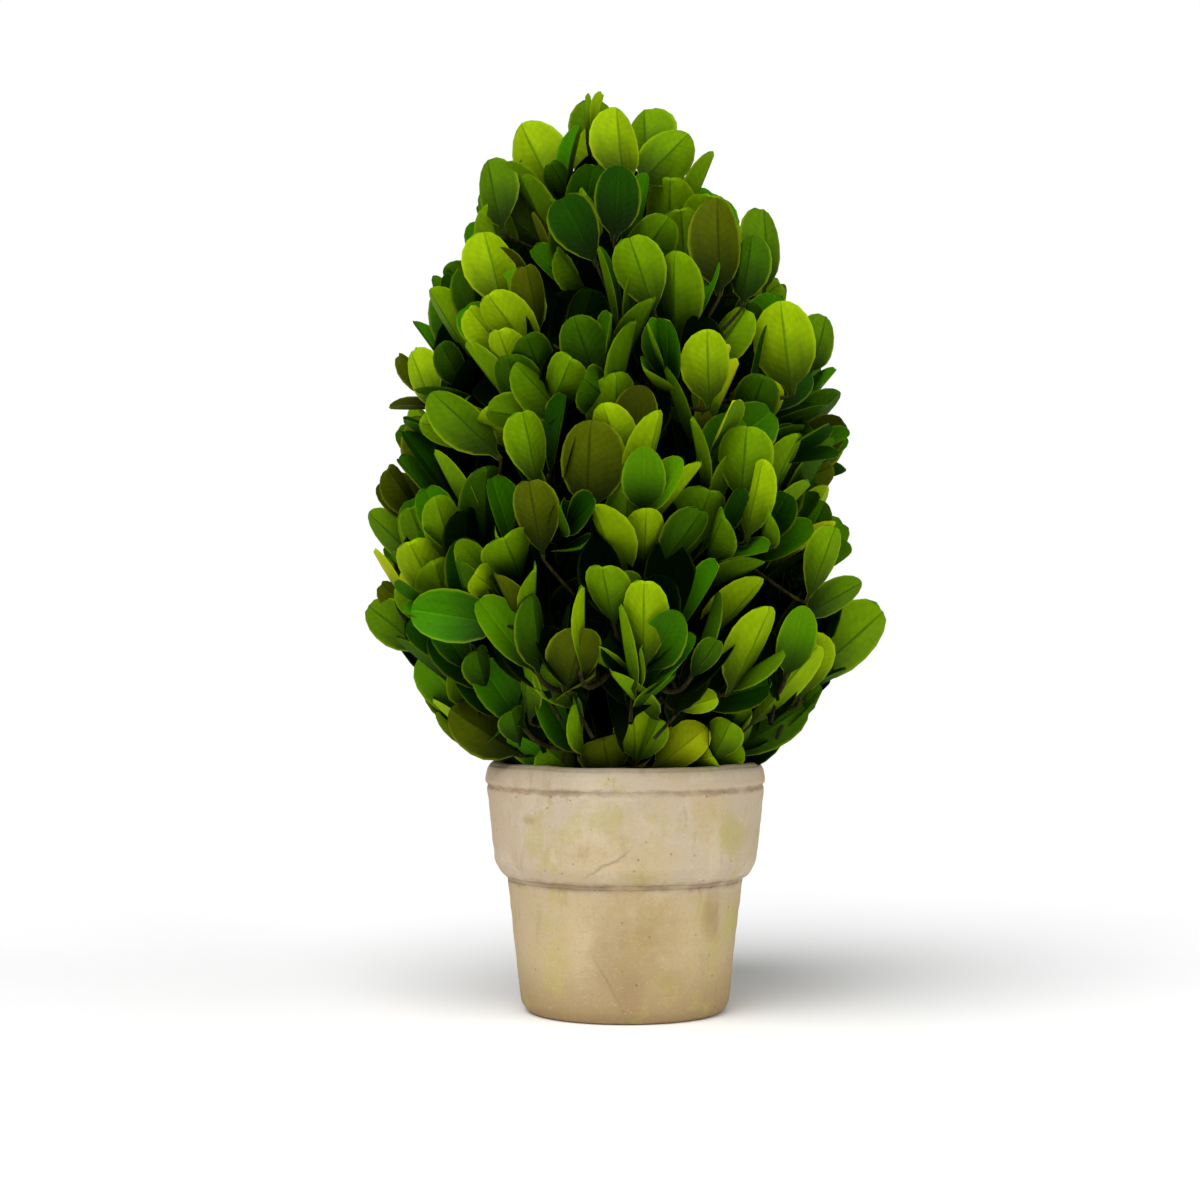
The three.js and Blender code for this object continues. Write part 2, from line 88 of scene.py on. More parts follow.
# ---- The growing rule's sizes, as the solids have them ----

# The crown's outline: an egg that leans aside above lean_from_z, and blunt at its top.
SEED = 1
CROWN = Sizes(
    foot_z=41.4, foot_reach=24.0, widest_z=66.0, widest_reach=42.0, top_z=152.4, blunt=2.2,
    lean=-5.0, lean_from_z=95.0,
)


def ring(z, sprigs, rise):
    return Sizes(z=z, sprigs=sprigs, rise=rise)


def tier(name, masses, turn, bough_rise, *rings):
    return Sizes(name=name, masses=masses, turn=turn, bough_rise=bough_rise, rings=rings)


TIERS = [
    tier("skirt", 4, 30, 12, ring(47.5, 12, 12), ring(57, 16, 22)),
    tier("lower", 5, 18, 26, ring(68, 20, 32), ring(78, 20, 42)),
    tier("middle", 4, 75, 40, ring(89, 16, 50), ring(101, 16, 56)),
    tier("upper", 3, 100, 50, ring(113, 12, 62), ring(125, 12, 68)),
    tier("tip", 1, 0, 90, ring(152.4, 1, 90), ring(146, 4, 82), ring(137, 8, 74)),
]

# A mass's dense heart, from the tier's floor and ceiling inwards, and the limbs.
CORE = Sizes(top=15, top_at_floor=16, bottom=27, innermost=9, under_ceiling=0.8, aside=0.3)
TRUNK = Sizes(radius=2.3, flare_radius=4.4, flare_height=7, tip_radius=1.1, sway=1.4)
BOUGH = Sizes(root_radius=1.25, tip_radius=0.9, stagger=2.4)

# gather is how far a sprig's foot is drawn to its mass's heart, roll and roll_rise how its leaves
# turn to the light, facing how many degrees a sprig's leaves look aside.
SPRIG = Sizes(length=16, start=19.5, gather=0.25, roll=0.9, roll_rise=0.4, facing=65)

# How much sprigs differ, as the solids' do: in direction (a share of the step to the next one),
# height, rise in degrees and length; and how far out they reach, as a share of the crown's reach.
SPRIG_SPREAD = Sizes(azimuth=0.16, z=1.8, rise=6, length=1.6, mean_reach=0.975, reach=0.035)

# ---- Finer than the solids: real leaves in closer pairs, and side shoots ----

# Each pair: how far below the end of the twig it sits, its splay in degrees, and its length as a
# share of the sprig's own.
PAIRS = [
    Sizes(below=0.0, splay=18, share=0.92),
    Sizes(below=4.5, splay=32, share=1.0),
    Sizes(below=9.5, splay=44, share=1.0),
    Sizes(below=15.0, splay=52, share=0.95),
]

# past_end is how much of a leaf reaches past its twig, clip how far past the crown's outline one
# may stand, and spacing how close the middles of two may be. Leaves shaded deep or deeper, and
# shaded_at_top near the top, have the dark colours. own_colour of them differ from their sprig.
LEAF = Sizes(
    length=15.5, width_share=0.53, past_end=0.95, clip=1.2, spacing=4.0, shaded=5.2,
    shaded_at_top=9.0, top_from_z=110, top_z=140, own_colour=0.45,
)
LEAF_SPREAD = Sizes(around=0.3, facing=20, splay=8, length=0.12, width=0.07)
SIDE_SHOOT = Sizes(
    count=2, below=9.0, apart=3.0, around=0.12, turn=40, turn_spread=8, length=8, length_spread=2,
    pairs=2, share=0.85,
)
TWIG = Sizes(root_radius=0.7, end_radius=0.35, side_radius=0.26, bud=0.65, bend=9, side_bend=4)

# A twig turns up towards its end, the more the higher it is above the rim, and it sways to one
# side by up to sway degrees. Some sprigs were clipped shorter, by up to set_back.
UPTURN = Sizes(at_rim=0.1, full=0.8, rim_z=46, full_z=62, sway=24, set_back=4.5)

# Places where the crown was clipped closer: to which side, at what height, how tall and how deep.
# HOLLOW_SHARE of that depth doesn't count when a leaf is looked at for the dark colours.
HOLLOWS = [(0, 91, 20, 13.0), (0, 119, 7, 5.0), (180, 94, 12, 3.0), (0, 140, 6, 5.0),
           (-90, 48, 10, 6.0)]
HOLLOW_SHARE = 0.6


# ---- Small helpers ----


def random_from(seed):
    """A linear congruential generator: the same seed always grows the same plant."""
    state = (seed * 2654435761) % 2**32

    def draw():
        nonlocal state
        state = (state * 1664525 + 1013904223) % 2**32
        return state / 2**32

    draw()
    return draw


def vary(draw, middle, spread):
    return middle + spread * (2 * draw() - 1)


def lerp(a, b, share):
    return a + (b - a) * share


def clamp(value, low=0.0, high=1.0):
    return max(low, min(high, value))


def polar(radius, angle, z):
    return Vector((radius * math.cos(angle), radius * math.sin(angle), z))


def turned(vector, axis, angle):
    return Matrix.Rotation(angle, 3, axis) @ vector


def linear(hex_colour):
    """A colour written as sRGB hex, such as "#C8B48F", in the linear values that shaders take."""
    parts = [int(hex_colour[i : i + 2], 16) / 255 for i in (1, 3, 5)]
    return tuple(c / 12.92 if c <= 0.04045 else ((c + 0.055) / 1.055) ** 2.4 for c in parts) + (1,)


def in_scene(name, data):
    """A new object at the origin, put into the scene."""
    made = bpy.data.objects.new(name, data)
    bpy.context.scene.collection.objects.link(made)
    return made


def mesh_object(name, points, faces, material):
    """A smooth mesh at the origin, from points in millimetres."""
    mesh = bpy.data.meshes.new(name)
    mesh.from_pydata([tuple(c * MM for c in point) for point in points], [], faces)
    mesh.materials.append(material)
    mesh.shade_smooth()
    return in_scene(name, mesh)


def set_attribute(mesh, name, kind, domain, values):
    """Gives each point, face or corner of a mesh a named value."""
    key, number = ("value", np.int32) if kind == "INT" else ("vector", np.float32)
    data = mesh.attributes.new(name, kind, domain).data
    data.foreach_set(key, np.array(values, number).ravel())


# ---- Nodes ----

NODE_GROUPS = ("ShaderNode", "GeometryNode", "FunctionNode", "Node")
SMOOTH = {"interpolation_type": "SMOOTHSTEP"}


def add(tree, kind, *inputs, out=0, **named):
    """Adds a node and returns its output at out, or all its outputs if out is None. The inputs
    fill its sockets in order. A name with a capital is a socket's, with _ for a space, and any
    other name is a setting's. An input is another node's output, which is linked, or a value."""
    group = next(one for one in NODE_GROUPS if hasattr(bpy.types, one + kind))
    node = tree.nodes.new(group + kind)
    for name in [name for name in named if name.islower()]:
        setattr(node, name, named.pop(name))
    by_name = {socket.identifier.replace(" ", "_"): socket for socket in node.inputs}
    pairs = list(zip(node.inputs, inputs)) + [(by_name[name], named[name]) for name in named]
    for socket, value in pairs:
        if isinstance(value, bpy.types.NodeSocket):
            tree.links.new(value, socket)
        else:
            socket.default_value = value
    return node.outputs if out is None else node.outputs[out]


def new_material(name):
    """A material with no nodes yet, and its tree."""
    material = bpy.data.materials.new(name)
    material.use_nodes = True
    material.node_tree.nodes.clear()
    return material, material.node_tree


def millimetres(tree):
    """Object coordinates in millimetres."""
    return add(
        tree, "VectorMath", add(tree, "TexCoord", out="Object"), Scale=1 / MM, operation="SCALE"
    )


def stain(tree, base, amount, hex_colour, most=1.0):
    """Lays a colour over base: amount runs from 0, where it isn't, to 1, where it is at most."""
    share = add(tree, "Math", amount, most, operation="MULTIPLY")
    colours = {"A_Color": base, "B_Color": linear(hex_colour)}
    return add(tree, "Mix", share, data_type="RGBA", out=2, **colours)


def wash(tree, base, pattern, none, full, hex_colour, most=1.0):
    """Lays a colour over base where a pattern goes from its level none to its level full."""
    amount = add(tree, "MapRange", pattern, none, full, **SMOOTH)
    return stain(tree, base, amount, hex_colour, most)


def finish(tree, relief, strength, deep, **sockets):
    """Ends a material with its shader, and a bump that is deep millimetres deep."""
    bump = add(tree, "Bump", Height=relief, Strength=strength, Distance=deep * MM)
    shader = add(tree, "BsdfPrincipled", Normal=bump, **sockets)
    add(tree, "OutputMaterial", Surface=shader, out=None)


# ---- Materials ----


# The clay's patterns: scale per millimetre, detail and roughness of each.
CLAY_PATTERNS = {
    "cloud": (0.07, 3, 0.55), "patches": (0.16, 4, 0.6), "bloom": (0.12, 4, 0.65),
    "speckle": (2.0, 4, 0.75), "ragged": (0.45, 4, 0.7), "wobble": (0.3, 3, 0.5),
    "worn": (0.2, 2, 0.5), "few": (0.2, 1, 0.5), "grain": (2.4, 4, 0.65),
}

# Colours laid over the clay, in order: the pattern or height that each follows, from its level
# where there is none to its level where there is most, colour and strength.
CLAY_WASHES = [
    ("cloud", 0.4, 0.6, "#BFAB86", 1),
    ("across", -8, -20, "#C2AD9A", 0.5),
    ("patches", 0.5, 0.62, "#CABC9F", 0.55),
    ("height", 23, 20, "#B9A376", 0.6),
    # Painted shade with an ochre tint: darker and browner towards the foot.
    ("height", 12, 0, "#8F754A", 0.75),
    ("fibres", 0.55, 0.7, "#A68F6E", 0.45),
    ("bloom", 0.53, 0.66, "#B2A65E", 0.45),
]

# Stains on the pot's front, and two broad darker patches in its middle that are painted shade:
# middle in x and z, half width, half height, the pattern that tears the edge, colour and strength.
CLAY_STAINS_AND_SHADE = [
    (17.5, 30.5, 4.5, 5, "patches", "#B0A55A", 0.6),
    (17.3, 15.5, 2.6, 6, "patches", "#B7AE5C", 0.8),
    (13.8, 17.0, 2.3, 6, "fibres", "#957B4C", 0.65),
    (-15.5, 33, 1.8, 1.4, "patches", "#A58C4E", 0.6),
    # Painted shade: a broad, faint darker patch on the middle of the collar's front.
    (0.5, 31, 11, 10, "patches", "#B09E7C", 0.3),
    (0.8, 5.5, 3.2, 7.5, "fibres", "#8E765E", 0.4),
    (-3.5, 10, 4.5, 5, "patches", "#97805F", 0.3),
    (3.5, 17, 3.0, 6, "fibres", "#A99264", 0.5),
    # Painted shade, browner too: a broad darker patch low on the middle of the body's front.
    (1.5, 10, 10, 16, "patches", "#947C50", 0.5),
]

# Heights of the lines round the pot, under the lip and under the collar, dirt with painted shade
# where the ledges overhang, and half their width.
DIRT_AND_SHADE_LINES = [(38.5, 0.8), (23.2, 1.2)]

# Hairline cracks on the pot's front: slope, height at the middle, left end, right end, strength.
CRACKS = [(0.65, 28.3, -7.5, 1.5, 1.0), (-1.9, 1.2, -6.5, 0.5, 0.6)]


def stain_and_shade_edge(tree, place, x, z, wide, tall, ragged):
    """How far out from the middle of a stain, or of a patch of painted shade, on the front a place
    is: 1 at half its size.
    """
    offset = add(tree, "VectorMath", place, (x, -20, z), operation="SUBTRACT")
    unit = add(tree, "VectorMath", offset, (1 / wide, 0.04, 1 / tall), operation="MULTIPLY")
    away = add(tree, "VectorMath", unit, operation="LENGTH", out="Value")
    return add(tree, "Math", ragged, 1.1, away, operation="MULTIPLY_ADD")


def hairline(tree, across, height, wobble, slope, middle, left, right, strength):
    """A crack that climbs by slope: 1 on its line, 0 away from it and past its ends."""
    climb = add(tree, "Math", across, slope, middle, operation="MULTIPLY_ADD")
    off = add(tree, "Math", height, climb, operation="SUBTRACT")
    off = add(tree, "Math", off, wobble, operation="ADD")
    off = add(tree, "Math", off, math.hypot(1, slope), operation="DIVIDE")
    near = add(tree, "Math", off, operation="ABSOLUTE")
    line = add(tree, "MapRange", near, 0.28, 0.06, 0, strength, **SMOOTH)
    for end, inside in ((left, left + 3), (right, right - 3)):
        fade = add(tree, "MapRange", across, end, inside, **SMOOTH)
        line = add(tree, "Math", line, fade, operation="MULTIPLY")
    return line


def fired_clay():
    """Unglazed, weathered earthenware: chalky and matt, mottled from pinkish cream to ochre, with
    brown grime and painted shade where lip and collar meet the wall, painted shade that darkens its
    foot and the middle of its front, yellow-green bloom, stains, pits and cracks."""
    material, tree = new_material("fired_clay")
    place = millimetres(tree)
    x, y, z = add(tree, "SeparateXYZ", place, out=None)
    by_name = {
        name: add(tree, "TexNoise", place, Scale=scale, Detail=detail, Roughness=roughness)
        for name, (scale, detail, roughness) in CLAY_PATTERNS.items()
    }
    upright = add(tree, "Mapping", place, Scale=(1, 1, 0.3))
    fibres = add(tree, "TexNoise", upright, Scale=0.35, Detail=4, Roughness=0.65)
    by_name |= {"across": x, "height": z, "fibres": fibres}
    grain, speckle = by_name["grain"], by_name["speckle"]

    colour = linear("#C0AF97")
    for pattern, none, full, hex_colour, most in CLAY_WASHES:
        colour = wash(tree, colour, by_name[pattern], none, full, hex_colour, most)
    for *where, torn, hex_colour, most in CLAY_STAINS_AND_SHADE:
        edge = stain_and_shade_edge(tree, place, *where, by_name[torn])
        colour = wash(tree, colour, edge, 1.55, 0.75, hex_colour, most)

    # Brown lines under the lip and under the collar: dirt, with painted shade where the ledges
    # overhang.
    wander = add(tree, "Math", by_name["ragged"], 1.8, z, operation="MULTIPLY_ADD")
    dirt_and_shade = 0.0
    for line_z, half in DIRT_AND_SHADE_LINES:
        off = add(tree, "Math", wander, line_z, operation="SUBTRACT")
        off = add(tree, "Math", off, operation="ABSOLUTE")
        line = add(tree, "MapRange", off, half, 0.1, **SMOOTH)
        dirt_and_shade = add(tree, "Math", line, dirt_and_shade, operation="MAXIMUM")
    left_over = add(tree, "MapRange", by_name["worn"], 0.3, 0.6, 0.2, 0.6, **SMOOTH)
    dirt_and_shade = add(tree, "Math", dirt_and_shade, left_over, operation="MULTIPLY")
    colour = stain(tree, colour, dirt_and_shade, "#80624A")

    cells = add(tree, "TexVoronoi", place, Scale=0.55, out="Distance")
    pits = add(tree, "MapRange", cells, 0.14, 0.07, **SMOOTH)
    few = add(tree, "MapRange", by_name["few"], 0.5, 0.6, **SMOOTH)
    pits = add(tree, "Math", pits, few, operation="MULTIPLY")
    colour = stain(tree, colour, pits, "#7F6A50", 0.5)

    wobble = add(tree, "Math", by_name["wobble"], 2.4, -1.2, operation="MULTIPLY_ADD")
    front = add(tree, "Math", y, 0.0, operation="LESS_THAN")
    lines = [hairline(tree, x, z, wobble, *crack) for crack in CRACKS]
    cracks = add(tree, "Math", *lines, operation="MAXIMUM")
    cracks = add(tree, "Math", cracks, front, operation="MULTIPLY")
    colour = stain(tree, colour, cracks, "#6E5B46", 0.35)
    colour = wash(tree, colour, speckle, 0.55, 0.7, "#D6CAB2", 0.22)
    colour = wash(tree, colour, speckle, 0.45, 0.3, "#8F7D5F", 0.32)

    level = add(tree, "Mapping", place, Scale=(0.05, 0.05, 1))
    rings = add(tree, "TexNoise", level, Scale=0.9, Detail=3, Roughness=0.6)
    relief = add(tree, "Math", grain, 0.5, operation="MULTIPLY")
    for pattern, weight in ((rings, 0.5), (pits, -1), (cracks, -0.45)):
        relief = add(tree, "Math", pattern, weight, relief, operation="MULTIPLY_ADD")
    rough = add(tree, "MapRange", grain, 0.3, 0.7, 0.82, 0.95, **SMOOTH)
    finish(tree, relief, 0.6, 0.25, Base_Color=colour, Roughness=rough, Specular_IOR_Level=0.2)
    return material


def dry_moss():
    """Dried moss and bark crumbs packed round the stem: dull, dark and rough."""
    material, tree = new_material("dry_moss")
    clumps = add(tree, "TexNoise", millimetres(tree), Scale=0.6, Detail=5, Roughness=0.7)
    colour = wash(tree, linear("#2C2414"), clumps, 0.35, 0.65, "#5B5226")
    finish(tree, clumps, 0.8, 0.8, Base_Color=colour, Roughness=0.95)
    return material


def thin_bark(name, dark, light):
    """Thin woody bark: matt, with fine fissures along the limb."""
    material, tree = new_material(name)
    along = add(tree, "Mapping", millimetres(tree), Scale=(1, 1, 0.25))
    fissures = add(tree, "TexNoise", along, Scale=1.3, Detail=5, Roughness=0.65)
    colour = wash(tree, linear(dark), fissures, 0.35, 0.65, light)
    finish(
        tree, fissures, 0.7, 0.3, Base_Color=colour, Roughness=0.85, Specular_IOR_Level=0.1
    )
    return material


def leaf_side(name, dark, light, roughness, rib, gloss, edge):
    """One side of a preserved boxwood leaf: satin, in two tones, darkened by painted shade towards
    its foot, with a midrib, fine veins and a paler margin that a painted rim highlight brightens.
    rib is how much the midrib lightens the blade, or darkens it if negative, and edge how strong
    the painted rim highlight is. The pattern follows each leaf's own length and width, so it is the
    same on every leaf of one colour."""
    material, tree = new_material(name)
    place = add(tree, "Attribute", attribute_name="leaf_place", out="Vector")
    across, along, _ = add(tree, "SeparateXYZ", place, out=None)
    aside = add(tree, "Math", across, operation="ABSOLUTE")
    mottle = add(tree, "TexNoise", place, Scale=5.0, Detail=4, Roughness=0.65)
    slant = add(tree, "Math", aside, -0.16, along, operation="MULTIPLY_ADD")
    veins = add(tree, "Math", slant, 75.0, operation="MULTIPLY")
    veins = add(tree, "Math", veins, operation="SINE")
    midrib = add(tree, "MapRange", aside, 0.07, 0.015, **SMOOTH)
    margin = add(tree, "MapRange", aside, 0.86, 0.98, **SMOOTH)

    tone = add(tree, "Math", mottle, 0.8, -0.3, operation="MULTIPLY_ADD")
    # Painted shade: along, weighted 0.6, makes the blade lighter towards its tip and darker at its
    # foot.
    for pattern, weight in ((veins, 0.03), (midrib, rib), (margin, 0.2), (along, 0.6)):
        tone = add(tree, "Math", pattern, weight, tone, operation="MULTIPLY_ADD")
    colour = stain(tree, linear(dark), add(tree, "Clamp", tone), light)
    # Painted shade: the blade darkens to near black towards its foot, where its neighbours shade
    # it.
    colour = wash(tree, colour, along, 0.75, 0.1, "#0B1602", 0.85)
    # Painted rim highlight: a bright yellow-green line along the margin, as strong as edge.
    colour = stain(tree, colour, margin, "#A8BC18", edge)

    relief = add(tree, "Math", midrib, -1, operation="MULTIPLY")
    for pattern, weight in ((veins, 0.12), (mottle, 0.4)):
        relief = add(tree, "Math", pattern, weight, relief, operation="MULTIPLY_ADD")
    rough = add(
        tree, "MapRange", mottle, 0.3, 0.7, roughness - 0.05, roughness + 0.08, **SMOOTH
    )
    finish(tree, relief, 0.45, 0.15, Base_Color=colour, Roughness=rough, Specular_IOR_Level=gloss)
    return material


# The leaf colours: the dark and light tone of the upper side, those of the underside, and how many
# leaves in a hundred have them. The last, shaded, are painted shade: near-black colours for leaves
# deep inside the crown.
FAMILIES = [
    ("fresh", ("#265400", "#428400"), ("#3E6000", "#749A00"), 25),
    ("deep", ("#0C2400", "#1E4A00"), ("#1E3A00", "#3E6600"), 31),
    ("pale", ("#3E6C00", "#5C9200"), ("#587A00", "#9AB804"), 13),
    ("olive", ("#283000", "#3E4602"), ("#313A00", "#535F02"), 11),
    ("mid", ("#224A00", "#3A6E00"), ("#324E00", "#5A8000"), 22),
    ("yellow", ("#446A02", "#648604"), ("#788C00", "#B6C20E"), 6),
    ("shaded", ("#020A01", "#041001"), ("#061201", "#0B1C01"), 0),
]
FAMILY_NAMES = [family[0] for family in FAMILIES]
SHADED = FAMILY_NAMES.index("shaded")
# The upper side is smoother than the underside, and only leaves in the light are a little glossy.
# Leaves in the light also get a painted rim highlight, as strong as edge; leaves in painted shade
# get almost none.
SIDES = {"upper": {"roughness": 0.4, "rib": 0.3}, "under": {"roughness": 0.6, "rib": -0.5}}
IN_LIGHT = {"gloss": 0.025, "edge": 0.22}
IN_SHADE = {"gloss": 0.0, "edge": 0.03}

CLAY = fired_clay()
MOSS = dry_moss()
# Both barks are dark brown, made darker still as painted shade for the gaps inside the crown.
BARK = thin_bark("stem_bark", "#1E160C", "#443721")
TWIG_BARK = thin_bark("twig_bark", "#171505", "#353010")
LEAF_SIDES = [
    leaf_side(f"leaf_{name}_{side}", *tones, **looks, **(IN_LIGHT if share else IN_SHADE))
    for name, *sides, share in FAMILIES
    for (side, looks), tones in zip(SIDES.items(), sides)
]


# ---- The crown's shape ----


def reach_at(z):
    if z >= CROWN.widest_z:
        up = (z - CROWN.widest_z) / (CROWN.top_z - CROWN.widest_z)
        return CROWN.widest_reach * math.sqrt(max(0.0, 1 - up * up))
    down = (CROWN.widest_z - z) / (CROWN.widest_z - CROWN.foot_z)
    return CROWN.widest_reach - (CROWN.widest_reach - CROWN.foot_reach) * down**1.1


def lean_at(z):
    share = max(0.0, z - CROWN.lean_from_z) / (CROWN.top_z - CROWN.lean_from_z)
    return CROWN.lean * share * share


def blunt_reach(z):
    """The reach at a height, but never less than it is a little below the top."""
    return reach_at(min(z, CROWN.top_z - CROWN.blunt))


def on_axis(z):
    return Vector((lean_at(z), 0, z))


# ---- Masses and sprigs, by the solids' rule ----


def sprig_plan(tier_index, ring_index, index, angle):
    """Where a sprig starts and ends. Its draws come in the same order as the solids' own."""
    this_ring = TIERS[tier_index].rings[ring_index]
    draw = random_from(SEED + tier_index * 1009 + ring_index * 211 + index * 17)
    spread = SPRIG_SPREAD
    summit = this_ring.sprigs == 1
    azimuth = vary(draw, angle, spread.azimuth * FULL_TURN / this_ring.sprigs)
    z = this_ring.z if summit else vary(draw, this_ring.z, spread.z)
    share = 0 if summit else vary(draw, spread.mean_reach, spread.reach)
    rise = math.radians(this_ring.rise if summit else vary(draw, this_ring.rise, spread.rise))
    tip = on_axis(z) + polar(blunt_reach(z) * share, azimuth, 0)
    foot = tip - polar(math.cos(rise), azimuth, math.sin(rise)) * SPRIG.start
    size = 1.0 if summit else vary(draw, SPRIG.length, spread.length) / SPRIG.length
    twist = FULL_TURN * draw()
    return Sizes(tip=tip, foot=foot, summit=summit, size=size, twist=twist, draw=draw)


def cone(z, reach, rise):
    return Sizes(z=z, reach=reach, rise=rise)


def cone_between(below, above):
    """The cone between two rings, where one tier ends and the next begins."""
    z = (below.z + above.z) / 2
    return cone(z, reach_at(z), math.radians((below.rise + above.rise) / 2))


def lowest(one_tier):
    return min(one_tier.rings, key=lambda one: one.z)


def on_cone(bound, depth, lift):
    r = bound.reach - depth * math.cos(bound.rise) - lift * math.sin(bound.rise)
    return r, bound.z - depth * math.sin(bound.rise) + lift * math.cos(bound.rise)


def core_centre(mass):
    """The middle of a mass's dense heart, where its bough ends and its sprigs gather."""
    floor = mass.floor or cone(CROWN.foot_z, CROWN.foot_reach, 0)
    ceiling = mass.ceiling or cone(CROWN.top_z, 0, math.pi / 2)
    lift = -CORE.under_ceiling if mass.ceiling else 0
    corners = [
        on_cone(floor, CORE.top_at_floor, CORE.aside),
        on_cone(ceiling, CORE.top, lift),
        on_cone(ceiling, CORE.bottom, lift),
        on_cone(floor, CORE.bottom, CORE.aside),
    ]
    least = 0 if mass.single else CORE.innermost
    r = 0 if mass.single else sum(max(corner[0], least) for corner in corners) / 4
    z = sum(corner[1] for corner in corners) / 4
    return on_axis(z) + polar(r, mass.middle, 0)


def mass_plans():
    plans = []
    for tier_index, one in enumerate(TIERS):
        under = TIERS[tier_index - 1] if tier_index else None
        over = TIERS[tier_index + 1] if tier_index + 1 < len(TIERS) else None
        floor = cone_between(under.rings[-1], lowest(one)) if under else None
        ceiling = cone_between(one.rings[-1], lowest(over)) if over else None
        width = FULL_TURN / one.masses
        for m in range(one.masses):
            start = math.radians(one.turn) + m * width
            mass = Sizes(tier=one, index=m, middle=start + width / 2, floor=floor, ceiling=ceiling)
            mass.single = one.masses == 1
            mass.name = one.name if mass.single else f"{one.name}_{m + 1}"
            mass.centre = core_centre(mass)
            mass.sprigs = []
            for ring_index, one_ring in enumerate(one.rings):
                share = one_ring.sprigs // one.masses
                stagger = 0.14 if ring_index % 2 else -0.14
                for i in range(share):
                    angle = start + (i + 0.5 + stagger) / share * width
                    mass.sprigs.append(sprig_plan(tier_index, ring_index, m * share + i, angle))
            plans.append(mass)
    return plans


MASSES = mass_plans()


# ---- Limbs ----


def trunk_centre(z):
    share = clamp((z - TRUNK_LOW.z) / (TRUNK_HIGH.z - TRUNK_LOW.z))
    swing = TRUNK.sway * math.sin(share * FULL_TURN) * (1 - share)
    return Vector((lean_at(z) + swing, 0.6 * swing, z))


def trunk_radius(z):
    height = z - TRUNK_LOW.z
    flare = max(0.0, 1 - height / TRUNK.flare_height) ** 2
    taper = lerp(TRUNK.radius, TRUNK.tip_radius, clamp(height / (TRUNK_HIGH.z - TRUNK_LOW.z)))
    return taper + (TRUNK.flare_radius - TRUNK.radius) * flare


def bough_start(mass):
    """Where a bough leaves the trunk's centre line."""
    out = math.hypot(mass.centre.x, mass.centre.y)
    stagger = (0.5 if mass.index % 2 else -0.5) * BOUGH.stagger
    z = mass.centre.z - out * math.tan(math.radians(mass.tier.bough_rise)) + stagger
    return trunk_centre(max(z, FILL_HIGH.z + 5))


def bent_line(start, middle, end, steps):
    """Points on a smooth bend from start to end, drawn towards middle."""
    shares = [step / steps for step in range(steps + 1)]
    return [start * (1 - s) ** 2 + middle * (2 * s * (1 - s)) + end * s * s for s in shares]


class Tubes:
    """Round limbs gathered into one mesh, each closed at both ends."""

    def __init__(self):
        self.points = []
        self.faces = []

    def add(self, line, radii, sides, relief=0.0):
        """A limb along a line. relief is the depth of its bark's ridges as a share of radius."""
        first = len(self.points)
        side = (line[1] - line[0]).orthogonal().normalized()
        for step, (centre, radius) in enumerate(zip(line, radii)):
            tangent = (line[min(step + 1, len(line) - 1)] - line[max(step - 1, 0)]).normalized()
            side = (side - tangent * side.dot(tangent)).normalized()
            other = tangent.cross(side)
            for k in range(sides):
                angle = FULL_TURN * k / sides
                way = side * math.cos(angle) + other * math.sin(angle)
                ridge = 1.0
                if relief:
                    place = Vector((way.x * 2.4, way.y * 2.4, centre.z * 0.22))
                    ridge += relief * noise.fractal(place, 0.8, 2.1, 4)
                self.points.append(centre + way * radius * ridge)
        for step in range(len(line) - 1):
            low = first + step * sides
            for k in range(sides):
                after = (k + 1) % sides
                self.faces.append((low + k, low + after, low + after + sides, low + k + sides))
        last = first + (len(line) - 1) * sides
        self.faces.append(tuple(first + k for k in reversed(range(sides))))
        self.faces.append(tuple(last + k for k in range(sides)))


# How many steps along and sides round a limb has, and how deep its bark's ridges are.
TRUNK_MESH = Sizes(steps=55, sides=22, ridges=0.16)
BOUGH_MESH = Sizes(steps=10, sides=10, ridges=0.12)


def grow_wood():
    """The trunk, and a sagging bough to the heart of each mass."""
    wood = Tubes()
    heights = np.linspace(TRUNK_LOW.z, TRUNK_HIGH.z, TRUNK_MESH.steps + 1)
    line, radii = [trunk_centre(z) for z in heights], [trunk_radius(z) for z in heights]
    wood.add(line, radii, TRUNK_MESH.sides, TRUNK_MESH.ridges)
    shares = [step / BOUGH_MESH.steps for step in range(BOUGH_MESH.steps + 1)]
    radii = [lerp(BOUGH.root_radius, BOUGH.tip_radius, share) for share in shares]
    for mass in MASSES:
        start = trunk_centre(TRUNK_HIGH.z - 1) if mass.single else bough_start(mass)
        sag = UP * (-0.06 * (mass.centre - start).length)
        middle = (start + mass.centre) / 2 + sag
        line = bent_line(start, middle, mass.centre, BOUGH_MESH.steps)
        wood.add(line, radii, BOUGH_MESH.sides, BOUGH_MESH.ridges)
    return mesh_object("stem_and_boughs", wood.points, wood.faces, BARK)


# ---- Shoots: a twig and the pairs of leaves along it ----

# How much of their lean the leaves at the very top keep.
SUMMIT_LEAN = 0.3


def hollow_at(place):
    """How much closer than its outline the crown was clipped at a place."""
    closer = 0.0
    for side, z, tall, depth in HOLLOWS:
        side = math.radians(side)
        facing = place.x * math.cos(side) + place.y * math.sin(side)
        across = clamp(facing / math.hypot(place.x, place.y))
        closer += depth * across * clamp(1 - ((place.z - z) / tall) ** 2)
    return closer


